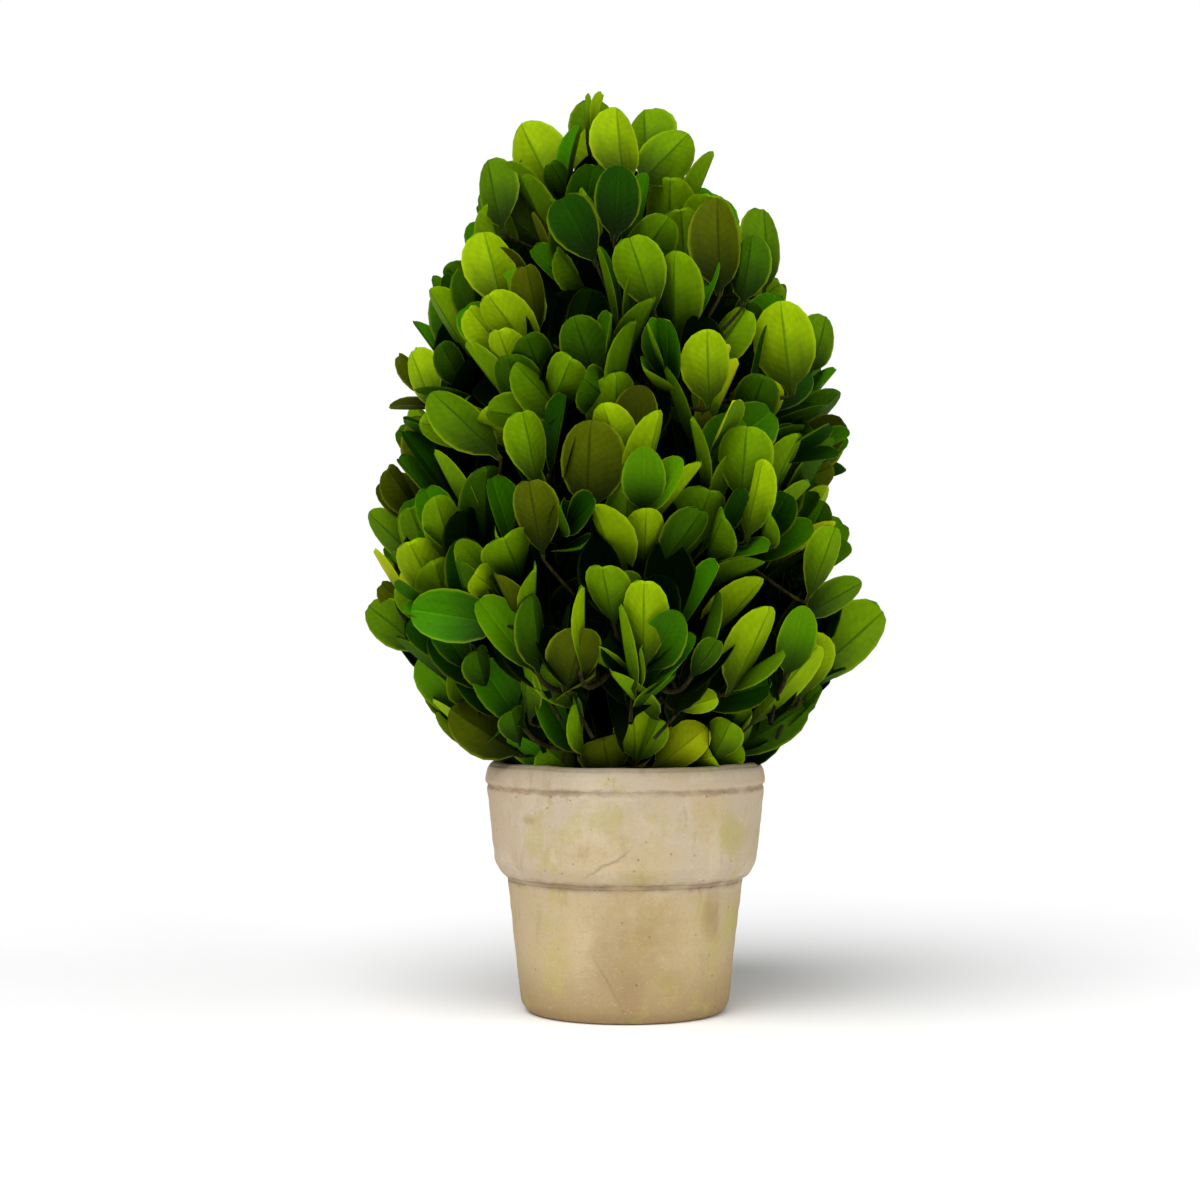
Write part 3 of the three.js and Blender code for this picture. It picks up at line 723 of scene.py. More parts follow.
def twig_of(mass, sprig):
    """A sprig's twig: out of the mass's heart and outwards, then turning up to its last pair."""
    start = sprig.foot.lerp(mass.centre, SPRIG.gather)
    out = (sprig.tip - start).normalized()
    share = clamp((sprig.tip.z - UPTURN.rim_z) / (UPTURN.full_z - UPTURN.rim_z))
    axis = (out + UP * lerp(UPTURN.at_rim, UPTURN.full, share)).normalized()
    if not sprig.summit:
        axis = turned(axis, out, math.radians(vary(sprig.draw, 0, UPTURN.sway)))
        sprig.tip -= out * (UPTURN.set_back * sprig.draw() ** 2 + hollow_at(sprig.tip))
    end = sprig.tip - axis * (LEAF.past_end * LEAF.length * sprig.size)
    return Sizes(start=mass.centre, end=end, axis=axis, sprig=sprig, steps=9, bend=TWIG.bend,
                 main=True, roots=[])


def side_twigs(main):
    """Short shoots that leave a main twig below its end and turn outwards."""
    draw = main.sprig.draw
    shoots = []
    for index in range(SIDE_SHOOT.count):
        start = main.end - main.axis * (SIDE_SHOOT.below + SIDE_SHOOT.apart * index)
        around = index / SIDE_SHOOT.count + vary(draw, 0, SIDE_SHOOT.around)
        swing = main.sprig.twist + FULL_TURN * around
        away = turned(main.axis.orthogonal().normalized(), main.axis, swing)
        turn = math.radians(vary(draw, SIDE_SHOOT.turn, SIDE_SHOOT.turn_spread))
        axis = (main.axis * math.cos(turn) + away * math.sin(turn)).normalized()
        end = start + axis * vary(draw, SIDE_SHOOT.length, SIDE_SHOOT.length_spread)
        shoots.append(
            Sizes(start=start, end=end, axis=axis, sprig=main.sprig, steps=4,
                  bend=TWIG.side_bend, main=False, roots=[])
        )
    return shoots


def pair_leaves(twig, pair_index):
    """The two leaves of a pair, as the solids' rule sets them: opposite, a quarter turn on from
    the pair above, leaning off the twig."""
    pair = PAIRS[pair_index]
    sprig = twig.sprig
    draw = sprig.draw
    share = pair.share * (1 if twig.main else SIDE_SHOOT.share)
    root = twig.end - twig.axis * pair.below
    side = Vector((-twig.axis.y, twig.axis.x, 0))
    side = side.normalized() if side.length > 0.01 else Vector((1, 0, 0))
    leaves = []
    for half in (0, math.pi):
        quarter = pair_index * math.pi / 2
        around = sprig.twist + quarter + half + vary(draw, 0, LEAF_SPREAD.around)
        facing = sprig.facing + math.radians(vary(draw, 0, LEAF_SPREAD.facing))
        away = turned(side, twig.axis, around)
        lean = math.radians(vary(draw, pair.splay, LEAF_SPREAD.splay))
        lean *= SUMMIT_LEAN if sprig.summit else 1
        length = LEAF.length * sprig.size * share * vary(draw, 1, LEAF_SPREAD.length)
        width = length * vary(draw, LEAF.width_share, LEAF_SPREAD.width)
        roll = SPRIG.roll * 2 * draw()
        shape = int(draw() * len(LEAF_SHAPES))
        leaves.append(
            Sizes(twig=twig, root=root, axis=twig.axis, away=away, lean=lean, length=length,
                  width=width, roll=roll, facing=facing, shape=shape, family=sprig.family)
        )
    return leaves


def family_of(draw):
    """A colour family, dealt out by its share."""
    ticket = draw() * sum(share for *_, share in FAMILIES)
    for index, (*_, share) in enumerate(FAMILIES):
        ticket -= share
        if ticket < 0:
            return index
    return len(FAMILIES) - 1


# A leaf shows its upper side only if that looks outwards more than this; the rest turn their
# undersides out.
UPPER_SIDE_SHOWS = 0.35

# Places to try for a leaf, in turn: swung round its twig, drawn in towards it, then smaller.
LEAF_TRIES = [
    (size, draw_in, swing)
    for size in (1, 0.88, 0.76)
    for draw_in in (1, 0.7, 0.45)
    for swing in (0, 0.4, -0.4, 0.8, -0.8)
]


def set_leaf(leaf, size, draw_in, swing):
    """Turns a leaf's plan into its three directions at one place to try."""
    away = turned(leaf.away, leaf.axis, swing)
    lean = leaf.lean * draw_in
    along = leaf.axis * math.cos(lean) + away * math.sin(lean)
    face = leaf.axis * math.sin(lean) - away * math.cos(lean)
    out = turned((leaf.root - on_axis(leaf.root.z)).normalized(), UP, leaf.facing)
    out.z = SPRIG.roll_rise
    face += out * math.copysign(leaf.roll, face.dot(out) - UPPER_SIDE_SHOWS)
    face = (face - along * face.dot(along)).normalized()
    return Sizes(root=leaf.root, along=along, face=face, across=along.cross(face),
                 length=leaf.length * size, width=leaf.width * size, shape=leaf.shape,
                 family=leaf.family, tier=leaf.twig.sprig.tier)


# The blade without its narrow foot, in shares of length and width: where two may not cross.
BLADE = [(0.34, 0), (0.62, 0.48), (0.97, 0.24), (0.97, -0.24), (0.62, -0.48)]
BLADE_TRIANGLES = [(0, 1, 2), (0, 2, 3), (0, 3, 4)]
BLADE_MIDDLE = 0.65
NEIGHBOURS = 1.14 * LEAF.length

# The part of a leading leaf that nothing may stand in front of: its middle and half its breadth.
LEADER_MIDDLE = 0.66
LEADER_CLEAR = 0.47


def blade_corners(leaf):
    return [
        leaf.root + leaf.along * (along * leaf.length) + leaf.across * (across * leaf.width)
        for along, across in BLADE
    ]


def in_reach(corners):
    """True if a blade is inside the clipped outline and clear of the pot."""
    for corner in corners:
        r = math.hypot(corner.x - lean_at(corner.z), corner.y)
        if r > blunt_reach(corner.z) + LEAF.clip or corner.z > CROWN.top_z:
            return False
        low = corner.z < POT.height + POT_CLEAR.above
        if low and r > POT.mouth_radius - POT_CLEAR.inside:
            return False
        if corner.z < FILL_HIGH.z + POT_CLEAR.inside:
            return False
    return True


def hides(corners, leaders):
    """True if a blade would stand in front of a leading leaf."""
    middle = sum(corners, Vector()) / len(corners)
    spots = corners + [middle] + [(corner + middle) / 2 for corner in corners]
    for leader in leaders:
        centre = leader.root + leader.along * (LEADER_MIDDLE * leader.length)
        clear = LEADER_CLEAR * leader.width
        for spot in spots:
            off = spot - centre
            if off.y < 0 and off.x * off.x + off.z * off.z < clear * clear:
                return True
    return False


def shaded_family(leaf):
    """The leaf's own colours, or the near-black colours of painted shade if it grew deep inside
    the crown.
    """
    tip = leaf.root + leaf.along * leaf.length
    depth = min(reach_at(tip.z) - math.hypot(tip.x - lean_at(tip.z), tip.y), CROWN.top_z - tip.z)
    depth -= hollow_at(tip) * HOLLOW_SHARE
    near_top = clamp((tip.z - LEAF.top_from_z) / (LEAF.top_z - LEAF.top_from_z))
    shaded_below = lerp(LEAF.shaded, LEAF.shaded_at_top, near_top)
    return SHADED if depth > shaded_below else leaf.family


def place_leaves(plans, leaders):
    """Sets leaves one after another, each where it is in reach, crosses no other blade and hides
    no leading leaf. Those are there from the start. A leaf with no such place is left out."""
    placed, trees = [], []
    centres = np.zeros((len(leaders) + len(plans), 3))

    def blade_tree(leaf):
        return BVHTree.FromPolygons(blade_corners(leaf), BLADE_TRIANGLES, all_triangles=True)

    def middle_of(leaf):
        return leaf.root + leaf.along * (BLADE_MIDDLE * leaf.length)

    def keep(leaf, tree):
        centres[len(placed)] = middle_of(leaf)
        placed.append(leaf)
        trees.append(tree)

    def fits(leaf, tree):
        apart = np.linalg.norm(centres[: len(placed)] - np.array(middle_of(leaf)), axis=1)
        near = np.nonzero(apart < NEIGHBOURS)[0]
        return apart.min() >= LEAF.spacing and not any(tree.overlap(trees[k]) for k in near)

    for leaf in leaders:
        keep(leaf, blade_tree(leaf))
    for plan in plans:
        for attempt in LEAF_TRIES:
            leaf = set_leaf(plan, *attempt)
            corners = blade_corners(leaf)
            if not in_reach(corners + [leaf.root]) or hides(corners, leaders):
                continue
            tree = blade_tree(leaf)
            if fits(leaf, tree):
                leaf.family = shaded_family(leaf)
                keep(leaf, tree)
                plan.twig.roots.append(plan.root)
                break
    return placed


def grow_shoots():
    """All twigs, and the plans of all their leaves, pair by pair from the twigs' ends."""
    mains, sides, plans = [], [], []
    for mass in MASSES:
        for sprig in mass.sprigs:
            sprig.family = family_of(sprig.draw)
            sprig.facing = math.radians(vary(sprig.draw, 0, SPRIG.facing))
            sprig.tier = mass.tier.name
            mains.append(twig_of(mass, sprig))
            sides += side_twigs(mains[-1])
    for pair_index in range(len(PAIRS)):
        for twig in mains + (sides if pair_index < SIDE_SHOOT.pairs else []):
            plans += pair_leaves(twig, pair_index)
    tint = random_from(SEED + 5003)
    for plan in plans:
        if tint() < LEAF.own_colour:
            plan.family = family_of(tint)
    return mains + sides, plans


# ---- Leading leaves ----


# The leaves that stand out on the front: their tip's x and z, how many degrees they lean to the
# right of upright, length, width, colours, and for some how many degrees they swing off the front,
# and that their upper side shows.
LEADING_LEAVES = [
    (-6.7, 152.2, -3, 9, 4.5, "fresh", 72),
    (-3.6, 152.0, 14, 9, 4.5, "pale", -70),
    (-18, 148, -27, 17, 10.5, "pale"),
    (-23, 141.5, -13, 14, 8, "mid", 25),
    (-2, 148, -6, 13.5, 9, "pale", -15),
    (3, 151, -4, 13, 10, "fresh", 10),
    (10.5, 144.5, 42, 13, 8.5, "fresh", -20),
    (-10.5, 131.5, -28, 12.5, 8, "deep", 0, "upper"),
    (-1, 136.5, 5, 12, 7.5, "deep", 0, "upper"),
    (-22.5, 127.5, -12, 14.5, 8.8, "pale"),
    (14, 132, -2, 16, 9, "olive"),
    (23.5, 133.5, 4, 16, 8, "mid", -20),
    (20, 126.5, 8, 12, 7, "deep", 15),
    (0.5, 125, -17, 13.5, 8.3, "fresh"),
    (24, 115.5, -8, 15, 10, "pale"),
    (34, 116, 20, 11.5, 7.5, "mid", -30),
    (12, 110, -3, 12, 8, "pale"),
    (-35.5, 109.5, -25, 12, 7, "pale", 15),
    (-31, 101.5, -45, 16, 8, "mid"),
    (-16, 97.5, -10, 12.5, 7, "fresh"),
    (-6, 95.5, 0, 14, 10.8, "olive"),
    (18.5, 95, 5, 12, 8.8, "fresh"),
    (21, 90, 12, 13, 6, "pale", 30),
    (-15, 86.5, -10, 12, 7.5, "olive"),
    (-43, 83, -48, 15, 6.5, "mid", 20),
    (33, 80, 22, 13, 6, "fresh", -35),
    (38, 71.3, 62, 12, 5.5, "mid", -20),
    (2.5, 71, 0, 14, 7.3, "pale"),
    (-34, 67, -80, 16, 8.5, "fresh", 0, "upper"),
    (-43.3, 68, -52, 14, 7.5, "mid", 15),
    (22, 67, 25, 15, 8, "pale", -15),
    (43.5, 66.5, 52, 20, 10.5, "fresh", -10),
    (-7, 63.5, 15, 10, 8.8, "olive"),
    (30.5, 61, 40, 18, 7, "pale", -20),
    (-28.5, 50.5, -58, 14, 8.5, "olive"),
    (29.5, 51, 48, 13, 7.5, "deep"),
    (1, 51, -12, 9, 6.5, "pale"),
    (5.5, 49.5, 20, 8, 5, "fresh"),
    (12.5, 48, 40, 9, 7, "yellow"),
    (14, 53, 75, 7, 4, "pale"),
    (-4, 46.5, 0, 8, 9, "olive"),
    (-12.5, 45, -8, 7, 8, "mid"),
    (-16, 58, -5, 9, 5, "mid", 40),
]

# How they are rooted: how deep in the crown their tip and root lie, and the root at least, where
# the tip follows it; how steeply they slope; and below rim_z, how far from the axis the root is.
LEADING = Sizes(
    root_depth=5.5, tip_depth=0.4, least_depth=2.0, follow=0.5, slope=0.45, rim_reach=17.0,
    rim_z=43.0, lowest_z=39.8, bend=1, turn_spread=22,
)


def on_front(x, z, depth):
    """The point on the front of the crown's surface, or on its outline, at x and z."""
    off = x - lean_at(z)
    return Vector((x, min(0.0, depth - math.sqrt(max(0.0, reach_at(z) ** 2 - off * off))), z))


def set_leading(draw, x, z, lean, length, width, family, turn=0, shows="under"):
    lean = math.radians(lean)
    tip = on_front(x, z, LEADING.tip_depth)
    root_x = x - math.sin(lean) * length
    root_z = z - math.cos(lean) * length
    most = LEADING.slope * length
    if root_z < LEADING.rim_z:
        root = Vector((root_x, tip.y, 0)).normalized() * LEADING.rim_reach
        root.z = max(root_z, LEADING.lowest_z)
        tip.y = max(tip.y, root.y - most)
    else:
        root = on_front(root_x, root_z, LEADING.root_depth)
        root.y = clamp(root.y, tip.y - most, tip.y + most)
        proud = on_front(root_x, root_z, LEADING.least_depth).y - root.y
        if proud > 0:
            root.y += proud
            tip.y += LEADING.follow * proud
    along = (tip - root).normalized()
    turn = math.radians(turn + vary(draw, 0, LEADING.turn_spread))
    face = Vector((math.sin(turn), math.cos(turn), 0)) * (-1 if shows == "upper" else 1)
    face = (face - along * face.dot(along)).normalized()
    length = max(length, (tip - root).length)
    return Sizes(root=tip - along * length, along=along, face=face, across=along.cross(face),
                 length=length, width=width, family=FAMILY_NAMES.index(family))


def grow_leading():
    """The leading leaves, each on a twig of its own."""
    leaves, twigs = [], []
    draw = random_from(SEED + 7001)
    for index, row in enumerate(LEADING_LEAVES):
        leaf = set_leading(draw, *row)
        leaf.shape = index % len(LEAF_SHAPES)
        mass = min(MASSES, key=lambda one: (one.centre - leaf.root).length)
        leaf.tier = mass.tier.name
        leaves.append(leaf)
        twigs.append(
            Sizes(start=mass.centre, axis=leaf.along, steps=9, bend=LEADING.bend, main=False,
                  roots=[leaf.root])
        )
    return twigs, leaves


# ---- Leaf shapes: a spoon-shaped blade on a short stalk, one long and one wide ----

# How far along the leaf each row of points stands: at the edge and on the midrib.
ROWS = [
    (0, 0), (0.1, 0.09), (0.22, 0.22), (0.37, 0.4), (0.53, 0.58), (0.69, 0.75), (0.82, 0.88),
    (0.925, 0.965), (0.98, 1),
]
COLUMNS = (-1.0, -0.5, 0.0, 0.5, 1.0)

# Each shape's fold, cup, curl, notch, skew, widest place and wedge: fold lifts the edges in a V and
# cup in a bowl, curl bends the tip up, notch dents it, skew swings the blade to one side, and a
# small wedge makes its lower half full.
LEAF_SHAPES = [
    (0.16, 0.22, 0.10, 0.00, 0.00, 0.50, 0.65),
    (0.10, 0.28, 0.04, 0.03, 0.03, 0.60, 0.85),
    (0.22, 0.16, 0.14, 0.00, -0.03, 0.46, 0.60),
    (0.14, 0.30, 0.18, 0.02, 0.02, 0.56, 0.75),
    (0.20, 0.14, -0.04, 0.00, -0.02, 0.48, 0.60),
    (0.12, 0.24, 0.22, 0.035, 0.04, 0.58, 0.80),
]
STALK = 0.08
BLADE_THICK = 0.022
RIB_THICK = 0.06


def half_width(along, widest, wedge):
    """Half the blade's width at a share of its length: a wedge below, a round tip above."""
    share = clamp((along - STALK) / (1 - STALK))
    if share < widest:
        wide = math.sin(math.pi / 2 * share / widest) ** wedge
    else:
        wide = math.sqrt(1 - ((share - widest) / (1 - widest)) ** 2.3)
    return max(0.5 * wide, 0.05)


def leaf_point(shape, row, column, side):
    fold, cup, curl, notch, skew, widest, wedge = shape
    edge, middle = ROWS[row]
    along = lerp(middle, edge, column * column)
    x = column * half_width(edge, widest, wedge)
    y = along - notch * (1 - abs(column)) * (row == len(ROWS) - 1)
    z = fold * abs(x) + cup * 2 * x * x + curl * max(0.0, along - 0.15) ** 2
    thick = lerp(RIB_THICK, BLADE_THICK, min(1.0, abs(x) * 6))
    return x + skew * along * along, y, z - (thick if side else 0)


def leaf_shape(name, shape):
    """A leaf one unit long and wide, root at the origin, its upper side facing +Z. Both sides
    share the points of its outline, so it ends in a thin edge."""
    numbers, points = {}, []

    def number_of(row, column, side):
        outline = row in (0, len(ROWS) - 1) or abs(column) == 1
        key = (row, column, 0 if outline else side)
        if key not in numbers:
            numbers[key] = len(points)
            points.append(leaf_point(shape, *key))
        return numbers[key]

    faces, sides, places = [], [], []
    for side in (0, 1):
        for row in range(len(ROWS) - 1):
            for left, right in zip(COLUMNS, COLUMNS[1:]):
                corners = [(row, left), (row, right), (row + 1, right), (row + 1, left)]
                corners = corners[::-1] if side else corners
                faces.append([number_of(*corner, side) for corner in corners])
                sides.append(side)
                places += [(column, ROWS[r][column == 0], side) for r, column in corners]
    mesh = bpy.data.meshes.new(name)
    mesh.from_pydata(points, [], faces)
    mesh.shade_smooth()
    mesh.set_sharp_from_angle(angle=math.radians(50))
    midrib = {number for (_, column, _), number in numbers.items() if column == 0}
    for edge in mesh.edges:
        if midrib.issuperset(edge.vertices):
            edge.use_edge_sharp = True
    set_attribute(mesh, "side", "INT", "FACE", sides)
    set_attribute(mesh, "leaf_place", "FLOAT_VECTOR", "CORNER", places)
    return bpy.data.objects.new(name, mesh)


SHAPES = bpy.data.collections.new("leaf_shapes")
for index, shape in enumerate(LEAF_SHAPES):
    SHAPES.objects.link(leaf_shape(f"leaf_shape_{index}", shape))


# ---- Leaves on their points, by Geometry Nodes ----


# What each leaf's point carries, and the tree's inputs.
POINT_VALUES = {"turn": "FLOAT_VECTOR", "size": "FLOAT_VECTOR", "shape": "INT", "family": "INT"}
LEAF_INPUTS = {
    "Points": "Geometry", "Shapes": "Collection", "Leaf length": "Float", "Leaf width": "Float",
}


def leaf_tree():
    """Puts a leaf shape on every point, turned and sized as the point says, and gives each side
    of each leaf the material of its colour family."""
    tree = bpy.data.node_groups.new("leaves_on_points", "GeometryNodeTree")
    sockets = {}
    for name, kind in LEAF_INPUTS.items():
        kind = f"NodeSocket{kind}"
        sockets[name] = tree.interface.new_socket(name, in_out="INPUT", socket_type=kind).identifier
    tree.interface.new_socket("Leaves", in_out="OUTPUT", socket_type="NodeSocketGeometry")
    given = add(tree, "GroupInput", out=None)

    turn, size, shape, family, side = [
        add(tree, "InputNamedAttribute", name, data_type=kind, out="Attribute")
        for name, kind in (*POINT_VALUES.items(), ("side", "INT"))
    ]
    shapes = add(
        tree, "CollectionInfo", given["Shapes"], Separate_Children=True, Reset_Children=True
    )
    wide = given["Leaf width"]
    unit = add(tree, "CombineXYZ", wide, given["Leaf length"], wide)
    leaves = add(
        tree, "InstanceOnPoints", Points=given["Points"], Instance=shapes, Pick_Instance=True,
        Instance_Index=shape, Rotation=add(tree, "EulerToRotation", turn),
        Scale=add(tree, "VectorMath", unit, size, operation="MULTIPLY"),
    )
    leaves = add(tree, "RealizeInstances", leaves)
    code = add(tree, "Math", family, len(SIDES), side, operation="MULTIPLY_ADD")
    for number, material in enumerate(LEAF_SIDES):
        own = add(tree, "Compare", A_INT=code, B_INT=number, data_type="INT", operation="EQUAL")
        leaves = add(tree, "SetMaterial", leaves, own, material)
    add(tree, "GroupOutput", leaves, out=None)
    return tree, sockets


LEAF_TREE, LEAF_SOCKETS = leaf_tree()
MEAN_WIDTH = LEAF.length * LEAF.width_share


def point_value(leaf, name):
    """What a leaf's point says of it."""
    if name == "turn":
        return Matrix((leaf.across, leaf.along, leaf.face)).transposed().to_euler()
    if name == "size":
        wide = leaf.width / MEAN_WIDTH
        return wide, leaf.length / LEAF.length, wide
    return getattr(leaf, name)


def lay_out_bake_map(mesh):
    """A UV map with one tile for each side of each colour family. Leaves of one colour share
    their tile, because their pattern is the same."""
    place = np.zeros(len(mesh.loops) * 3, np.float32)
    mesh.attributes["leaf_place"].data.foreach_get("vector", place)
    material, corners = np.zeros((2, len(mesh.polygons)), np.int32)
    mesh.polygons.foreach_get("material_index", material)
    mesh.polygons.foreach_get("loop_total", corners)
    tile = np.repeat(material, corners)
    wide = math.ceil(math.sqrt(len(mesh.materials)))
    inset = 0.06
    u = place[0::3] / 2 + 0.5
    uv = [
        (part + inset + (1 - 2 * inset) * share) / wide
        for part, share in ((tile % wide, u), (tile // wide, place[1::3]))
    ]
    flat = np.stack(uv, axis=1).astype(np.float32).ravel()
    mesh.uv_layers.new(name="OFBake").data.foreach_set("uv", flat)


def leaves_piece(name, leaves):
    mesh = bpy.data.meshes.new("leaf_points")
    mesh.from_pydata([leaf.root * MM for leaf in leaves], [], [])
    for value, kind in POINT_VALUES.items():
        set_attribute(mesh, value, kind, "POINT", [point_value(leaf, value) for leaf in leaves])
    points = in_scene("leaf_points", mesh)
    modifier = points.modifiers.new("leaves", "NODES")
    modifier.node_group = LEAF_TREE
    modifier[LEAF_SOCKETS["Shapes"]] = SHAPES
    modifier[LEAF_SOCKETS["Leaf length"]] = LEAF.length * MM
    modifier[LEAF_SOCKETS["Leaf width"]] = MEAN_WIDTH * MM
    depsgraph = bpy.context.evaluated_depsgraph_get()
    mesh = bpy.data.meshes.new_from_object(points.evaluated_get(depsgraph))
    bpy.data.objects.remove(points)
    lay_out_bake_map(mesh)
    mesh.name = name
    return in_scene(name, mesh)


# ---- Twigs ----

# The bud: how far past the twig's end each ring of it is, and how thick.
BUD = [(0.6, 1.25), (1.4, 0.9), (1.9, 0.3)]


def over_rim(point):
    """Lifts a point on a twig clear of the pot's rim."""
    share = clamp((math.hypot(point.x, point.y) - POT.mouth_radius + 5) / 4)
    return Vector((point.x, point.y, max(point.z, lerp(FILL_HIGH.z, POT.height + 0.9, share))))


def grow_twigs(twigs):
    """Every twig that bears leaves, as a slim tapering limb up to the bud over the last of them."""
    wood = Tubes()
    for twig in twigs:
        if not twig.roots:
            continue
        end = max(twig.roots, key=lambda root: root.dot(twig.axis))
        bend = min(twig.bend, (end - twig.start).length / 2)
        line = bent_line(twig.start, end - twig.axis * bend, end, twig.steps)
        line = [over_rim(point) for point in line]
        thick = TWIG.root_radius if twig.main else TWIG.side_radius * 1.3
        thin = TWIG.end_radius if twig.main else TWIG.side_radius
        radii = [lerp(thick, thin, step / twig.steps) for step in range(twig.steps + 1)]
        for past, swell in BUD:
            line.append(line[twig.steps] + twig.axis * (TWIG.bud * past))
            radii.append(thin * swell)
        wood.add(line, radii, 6)
    return mesh_object("twigs", wood.points, wood.faces, TWIG_BARK)


# ---- Pot ----


def rounded(corners, radius, steps=4):
    """An outline with each inner corner turned into a short bend."""
    line = [Vector(corners[0])]
    for before, corner, after in zip(corners, corners[1:], corners[2:]):
        before, corner, after = Vector(before), Vector(corner), Vector(after)
        reach_in = min(radius, (corner - before).length / 2)
        reach_out = min(radius, (after - corner).length / 2)
        first = corner + (before - corner).normalized() * reach_in
        last = corner + (after - corner).normalized() * reach_out
        line += bent_line(first, corner, last, steps)
    return line + [Vector(corners[-1])]


def with_steps(line, longest):
    """The same outline with points no further apart than longest."""
    points = []
    for a, b in zip(line, line[1:]):
        steps = max(1, math.ceil((b - a).length / longest))
        points += [a.lerp(b, step / steps) for step in range(steps)]
    return points


def pot_outline():
    groove_z = POT.height - POT.lip_height - 0.5
    outside = [
        (POT.drain_radius, 0),
        (POT.base_radius - 1.2, 0),
        (POT.base_radius + 0.1, 1.6),
        (POT.neck_radius - 0.5, POT.collar_z - 0.9),
        (POT.neck_radius - 0.5, POT.collar_z - 0.3),
        (POT.collar_radius - 1.0, POT.collar_z + 0.4),
        (POT.collar_radius + 0.1, POT.collar_z + 2.4),
        (POT.rim_radius + 0.1, groove_z - 0.4),
        (POT.rim_radius - 0.2, groove_z),
        (POT.rim_radius + 0.4, groove_z + 0.5),
        (POT.rim_radius, POT.height - 0.9),
        (POT.rim_radius - 0.9, POT.height + 0.2),
    ]
    inside = [
        (POT.mouth_radius + 0.9, POT.height + 0.2),
        (POT.mouth_radius, POT.height - 1.2),
        (POT.inner_foot_radius, POT.floor),
        (POT.drain_radius, POT.floor),
        (POT.drain_radius, 0),
    ]
    return with_steps(rounded(outside + inside, 0.8), 0.55)


def clay_point(angle, r, z):
    """A point of the outline, moved as hand and kiln pushed the wall out and the rim up there."""
    way = Vector((math.cos(angle), math.sin(angle), 0))
    broad = noise.noise(way * 1.1 + UP * (z * 0.05)) * 0.22
    throwing = noise.noise(way * 0.5 + UP * (z * 0.7)) * 0.07
    crumbs = noise.noise(way * (r * 0.55) + UP * (z * 0.55)) * 0.05
    edge = noise.noise(way * 2.2 + UP * 9) * 0.28
    outer = clamp((r - POT.inner_foot_radius) / 2) * clamp(z / 2)
    lifted = z + edge * clamp((z - POT.height + 4) / 4)
    ragged = noise.noise(polar(4.2, angle, z * 0.1)) * 0.35
    lifted += ragged * max(0.0, 1 - abs(z - POT.collar_z - 0.4) / 1.4)
    return polar(r + (broad + throwing + crumbs - 0.1) * outer, angle, lifted)


def moss_point(angle, r, z):
    lump = noise.fractal(polar(r * 0.35, angle, 3), 0.9, 2.1, 4) * 1.1 - 0.5
    return polar(r, angle, z + lump * clamp((z - FILL_HIGH.z + 1.7) / 1.7))


def turned_shell(name, outline, around, place, material, ring=True):
    """A body turned from an outline, each point of it put where place says. The outline is a ring
    round a wall, or else the skin of a solid body, whose two ends are closed."""
    count = len(outline)
    angles = [FULL_TURN * k / around for k in range(around)]
    points = [place(angle, r, z) for angle in angles for r, z in outline]
    starts = [k * count for k in range(around)]
    faces = [] if ring else [starts, [start + count - 1 for start in starts[::-1]]]
    for here, there in zip(starts, starts[1:] + starts[:1]):
        for step in range(count if ring else count - 1):
            after = (step + 1) % count
            faces.append((here + step, there + step, there + after, here + after))
    return mesh_object(name, points, faces, material)


def clay_pot():
    return turned_shell("clay_pot", pot_outline(), 220, clay_point, CLAY)


def moss_bed():
    """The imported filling: a plug with a lumpy top that the stem stands in."""
    outline = [(FILL_HIGH.x * share, FILL_HIGH.z) for share in np.linspace(0.06, 0.97, 14)]
    outline += [
        (FILL_HIGH.x, FILL_HIGH.z - 1.6), (POT.inner_foot_radius - 0.4, FILL_LOW.z),
        (0.5, FILL_LOW.z),
    ]
    outline = [Vector(point) for point in outline]
    return turned_shell("moss_bed", outline, 72, moss_point, MOSS, ring=False)


# ---- Stage, light and camera ----


# The soft lights, all far off: where each is, how many degrees of the sky it fills, its strength.
LIGHTS = {
    "key_light": ((-0.3, -0.75, 1.15), 50, 2.9),
    "fill_light": ((0.9, -0.6, 0.5), 60, 1.05),
    "side_light": ((-0.9, -0.5, 0.4), 60, 0.45),
}
SKY = Sizes(light=0.18, seen=1.0)
CAMERA = Sizes(x=-4.2, z=68.3, distance=440, view_width=200, sensor=36)
FLOOR_HALF = 3000


def pale_floor():
    """A wide pale sheet under the pot."""
    material, tree = new_material("pale_floor")
    speck = add(tree, "TexNoise", millimetres(tree), Scale=0.02, Detail=2)
    colour = stain(tree, linear("#F7F7F7"), speck, "#FBFBFB")
    shader = add(tree, "BsdfPrincipled", Base_Color=colour, Roughness=0.9)
    add(tree, "OutputMaterial", Surface=shader, out=None)
    corners = [(x * FLOOR_HALF, y * FLOOR_HALF, 0) for x, y in ((-1, -1), (1, -1), (1, 1), (-1, 1))]
    return mesh_object("pale_floor", corners, [(0, 1, 2, 3)], material)


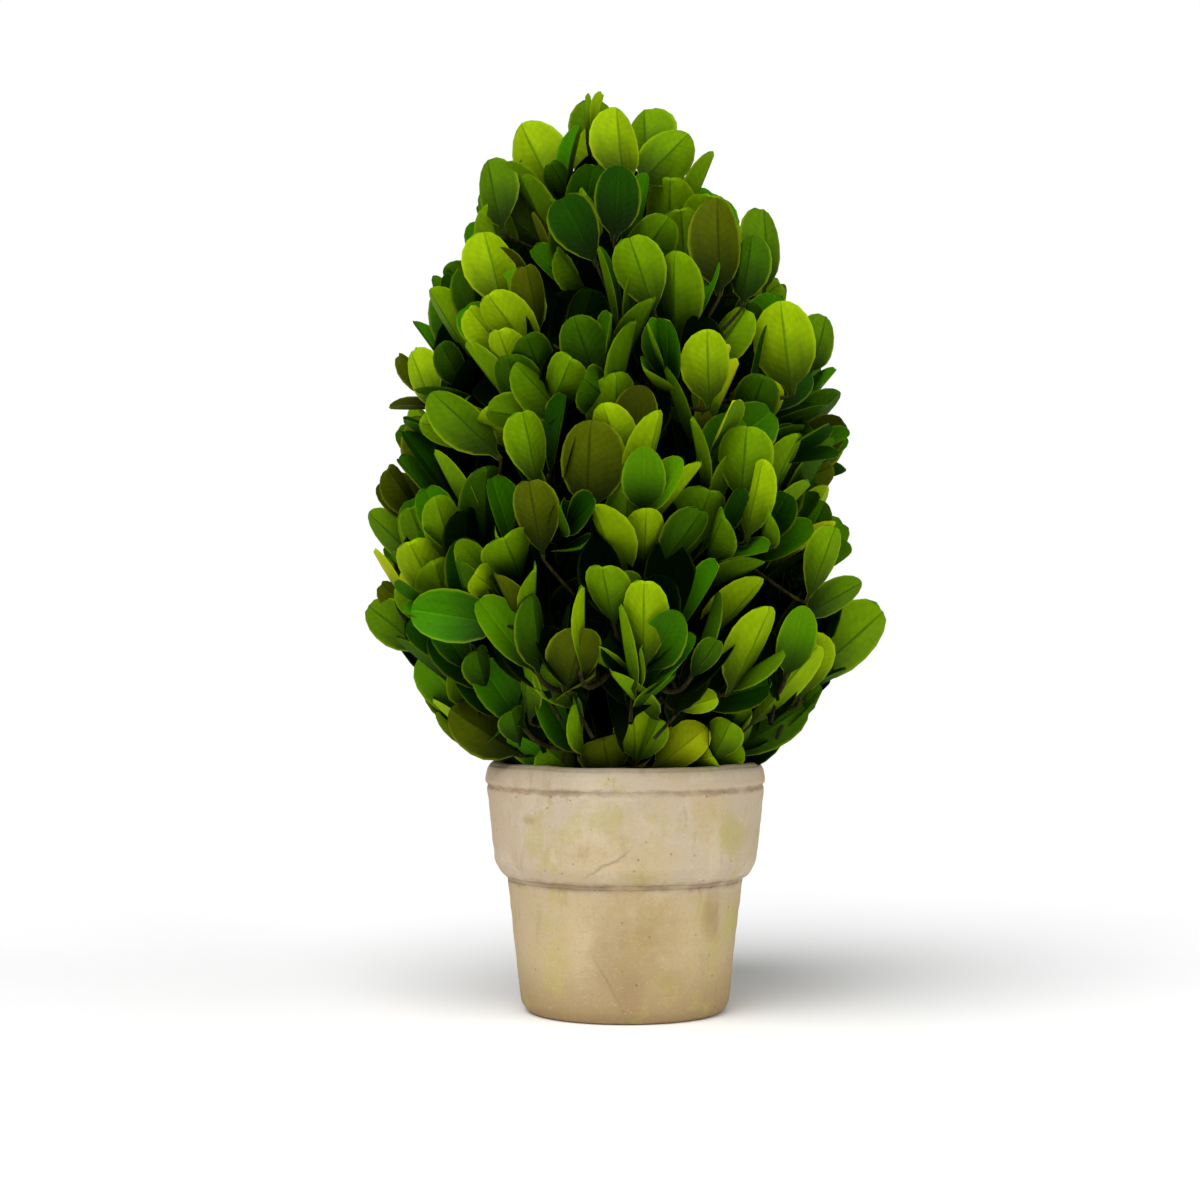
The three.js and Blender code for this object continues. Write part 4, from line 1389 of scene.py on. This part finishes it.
def light_scene():
    """A white room: white to the camera, and dim enough to leave shade between the leaves."""
    world = bpy.data.worlds.new("white_room")
    world.use_nodes = True
    tree = world.node_tree
    tree.nodes.clear()
    seen = add(tree, "LightPath", out="Is Camera Ray")
    strength = add(tree, "MapRange", seen, 0, 1, SKY.light, SKY.seen)
    sky = add(tree, "Background", (1, 1, 1, 1), strength)
    add(tree, "OutputWorld", Surface=sky, out=None)
    bpy.context.scene.world = world
    for name, (place, wide, strength) in LIGHTS.items():
        light = bpy.data.lights.new(name, "SUN")
        light.angle = math.radians(wide)
        light.energy = strength
        facing = (-Vector(place)).to_track_quat("-Z", "Y").to_euler()
        in_scene(name, light).rotation_euler = facing
    bpy.context.scene.view_settings.view_transform = "Standard"


def set_camera():
    camera = bpy.data.cameras.new("front_camera")
    camera.sensor_width = CAMERA.sensor
    camera.lens = CAMERA.sensor * CAMERA.distance / CAMERA.view_width
    made = in_scene("front_camera", camera)
    made.location = Vector((CAMERA.x, -CAMERA.distance, CAMERA.z)) * MM
    made.rotation_euler = (math.pi / 2, 0, 0)
    bpy.context.scene.camera = made


# ---- Assembly ----


def dress(piece, slot, *nodes):
    """Fixes a finished piece to the plant and hides the solids it stands for."""
    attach(piece, "root")
    if nodes:
        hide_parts(*nodes)


dress(clay_pot(), "clay", "pot")
dress(moss_bed(), "fill", "pot_fill")
BOUGH_NODES = [f"bough_{mass.name}" for mass in MASSES if not mass.single]
dress(grow_wood(), "bark", "trunk", *BOUGH_NODES)

TWIGS, LEAF_PLANS = grow_shoots()
LEADING_TWIGS, LEADERS = grow_leading()
LEAVES = place_leaves(LEAF_PLANS, LEADERS)
dress(grow_twigs(TWIGS + LEADING_TWIGS), "bark")
for one_tier in TIERS:
    own = [leaf for leaf in LEAVES if leaf.tier == one_tier.name]
    nodes = [f"foliage_{mass.name}" for mass in MASSES if mass.tier is one_tier]
    dress(leaves_piece(f"leaves_{one_tier.name}", own), "leaf", *nodes)

for leaf_object in list(SHAPES.objects):
    bpy.data.objects.remove(leaf_object)
bpy.data.collections.remove(SHAPES)

pale_floor()
light_scene()
set_camera()
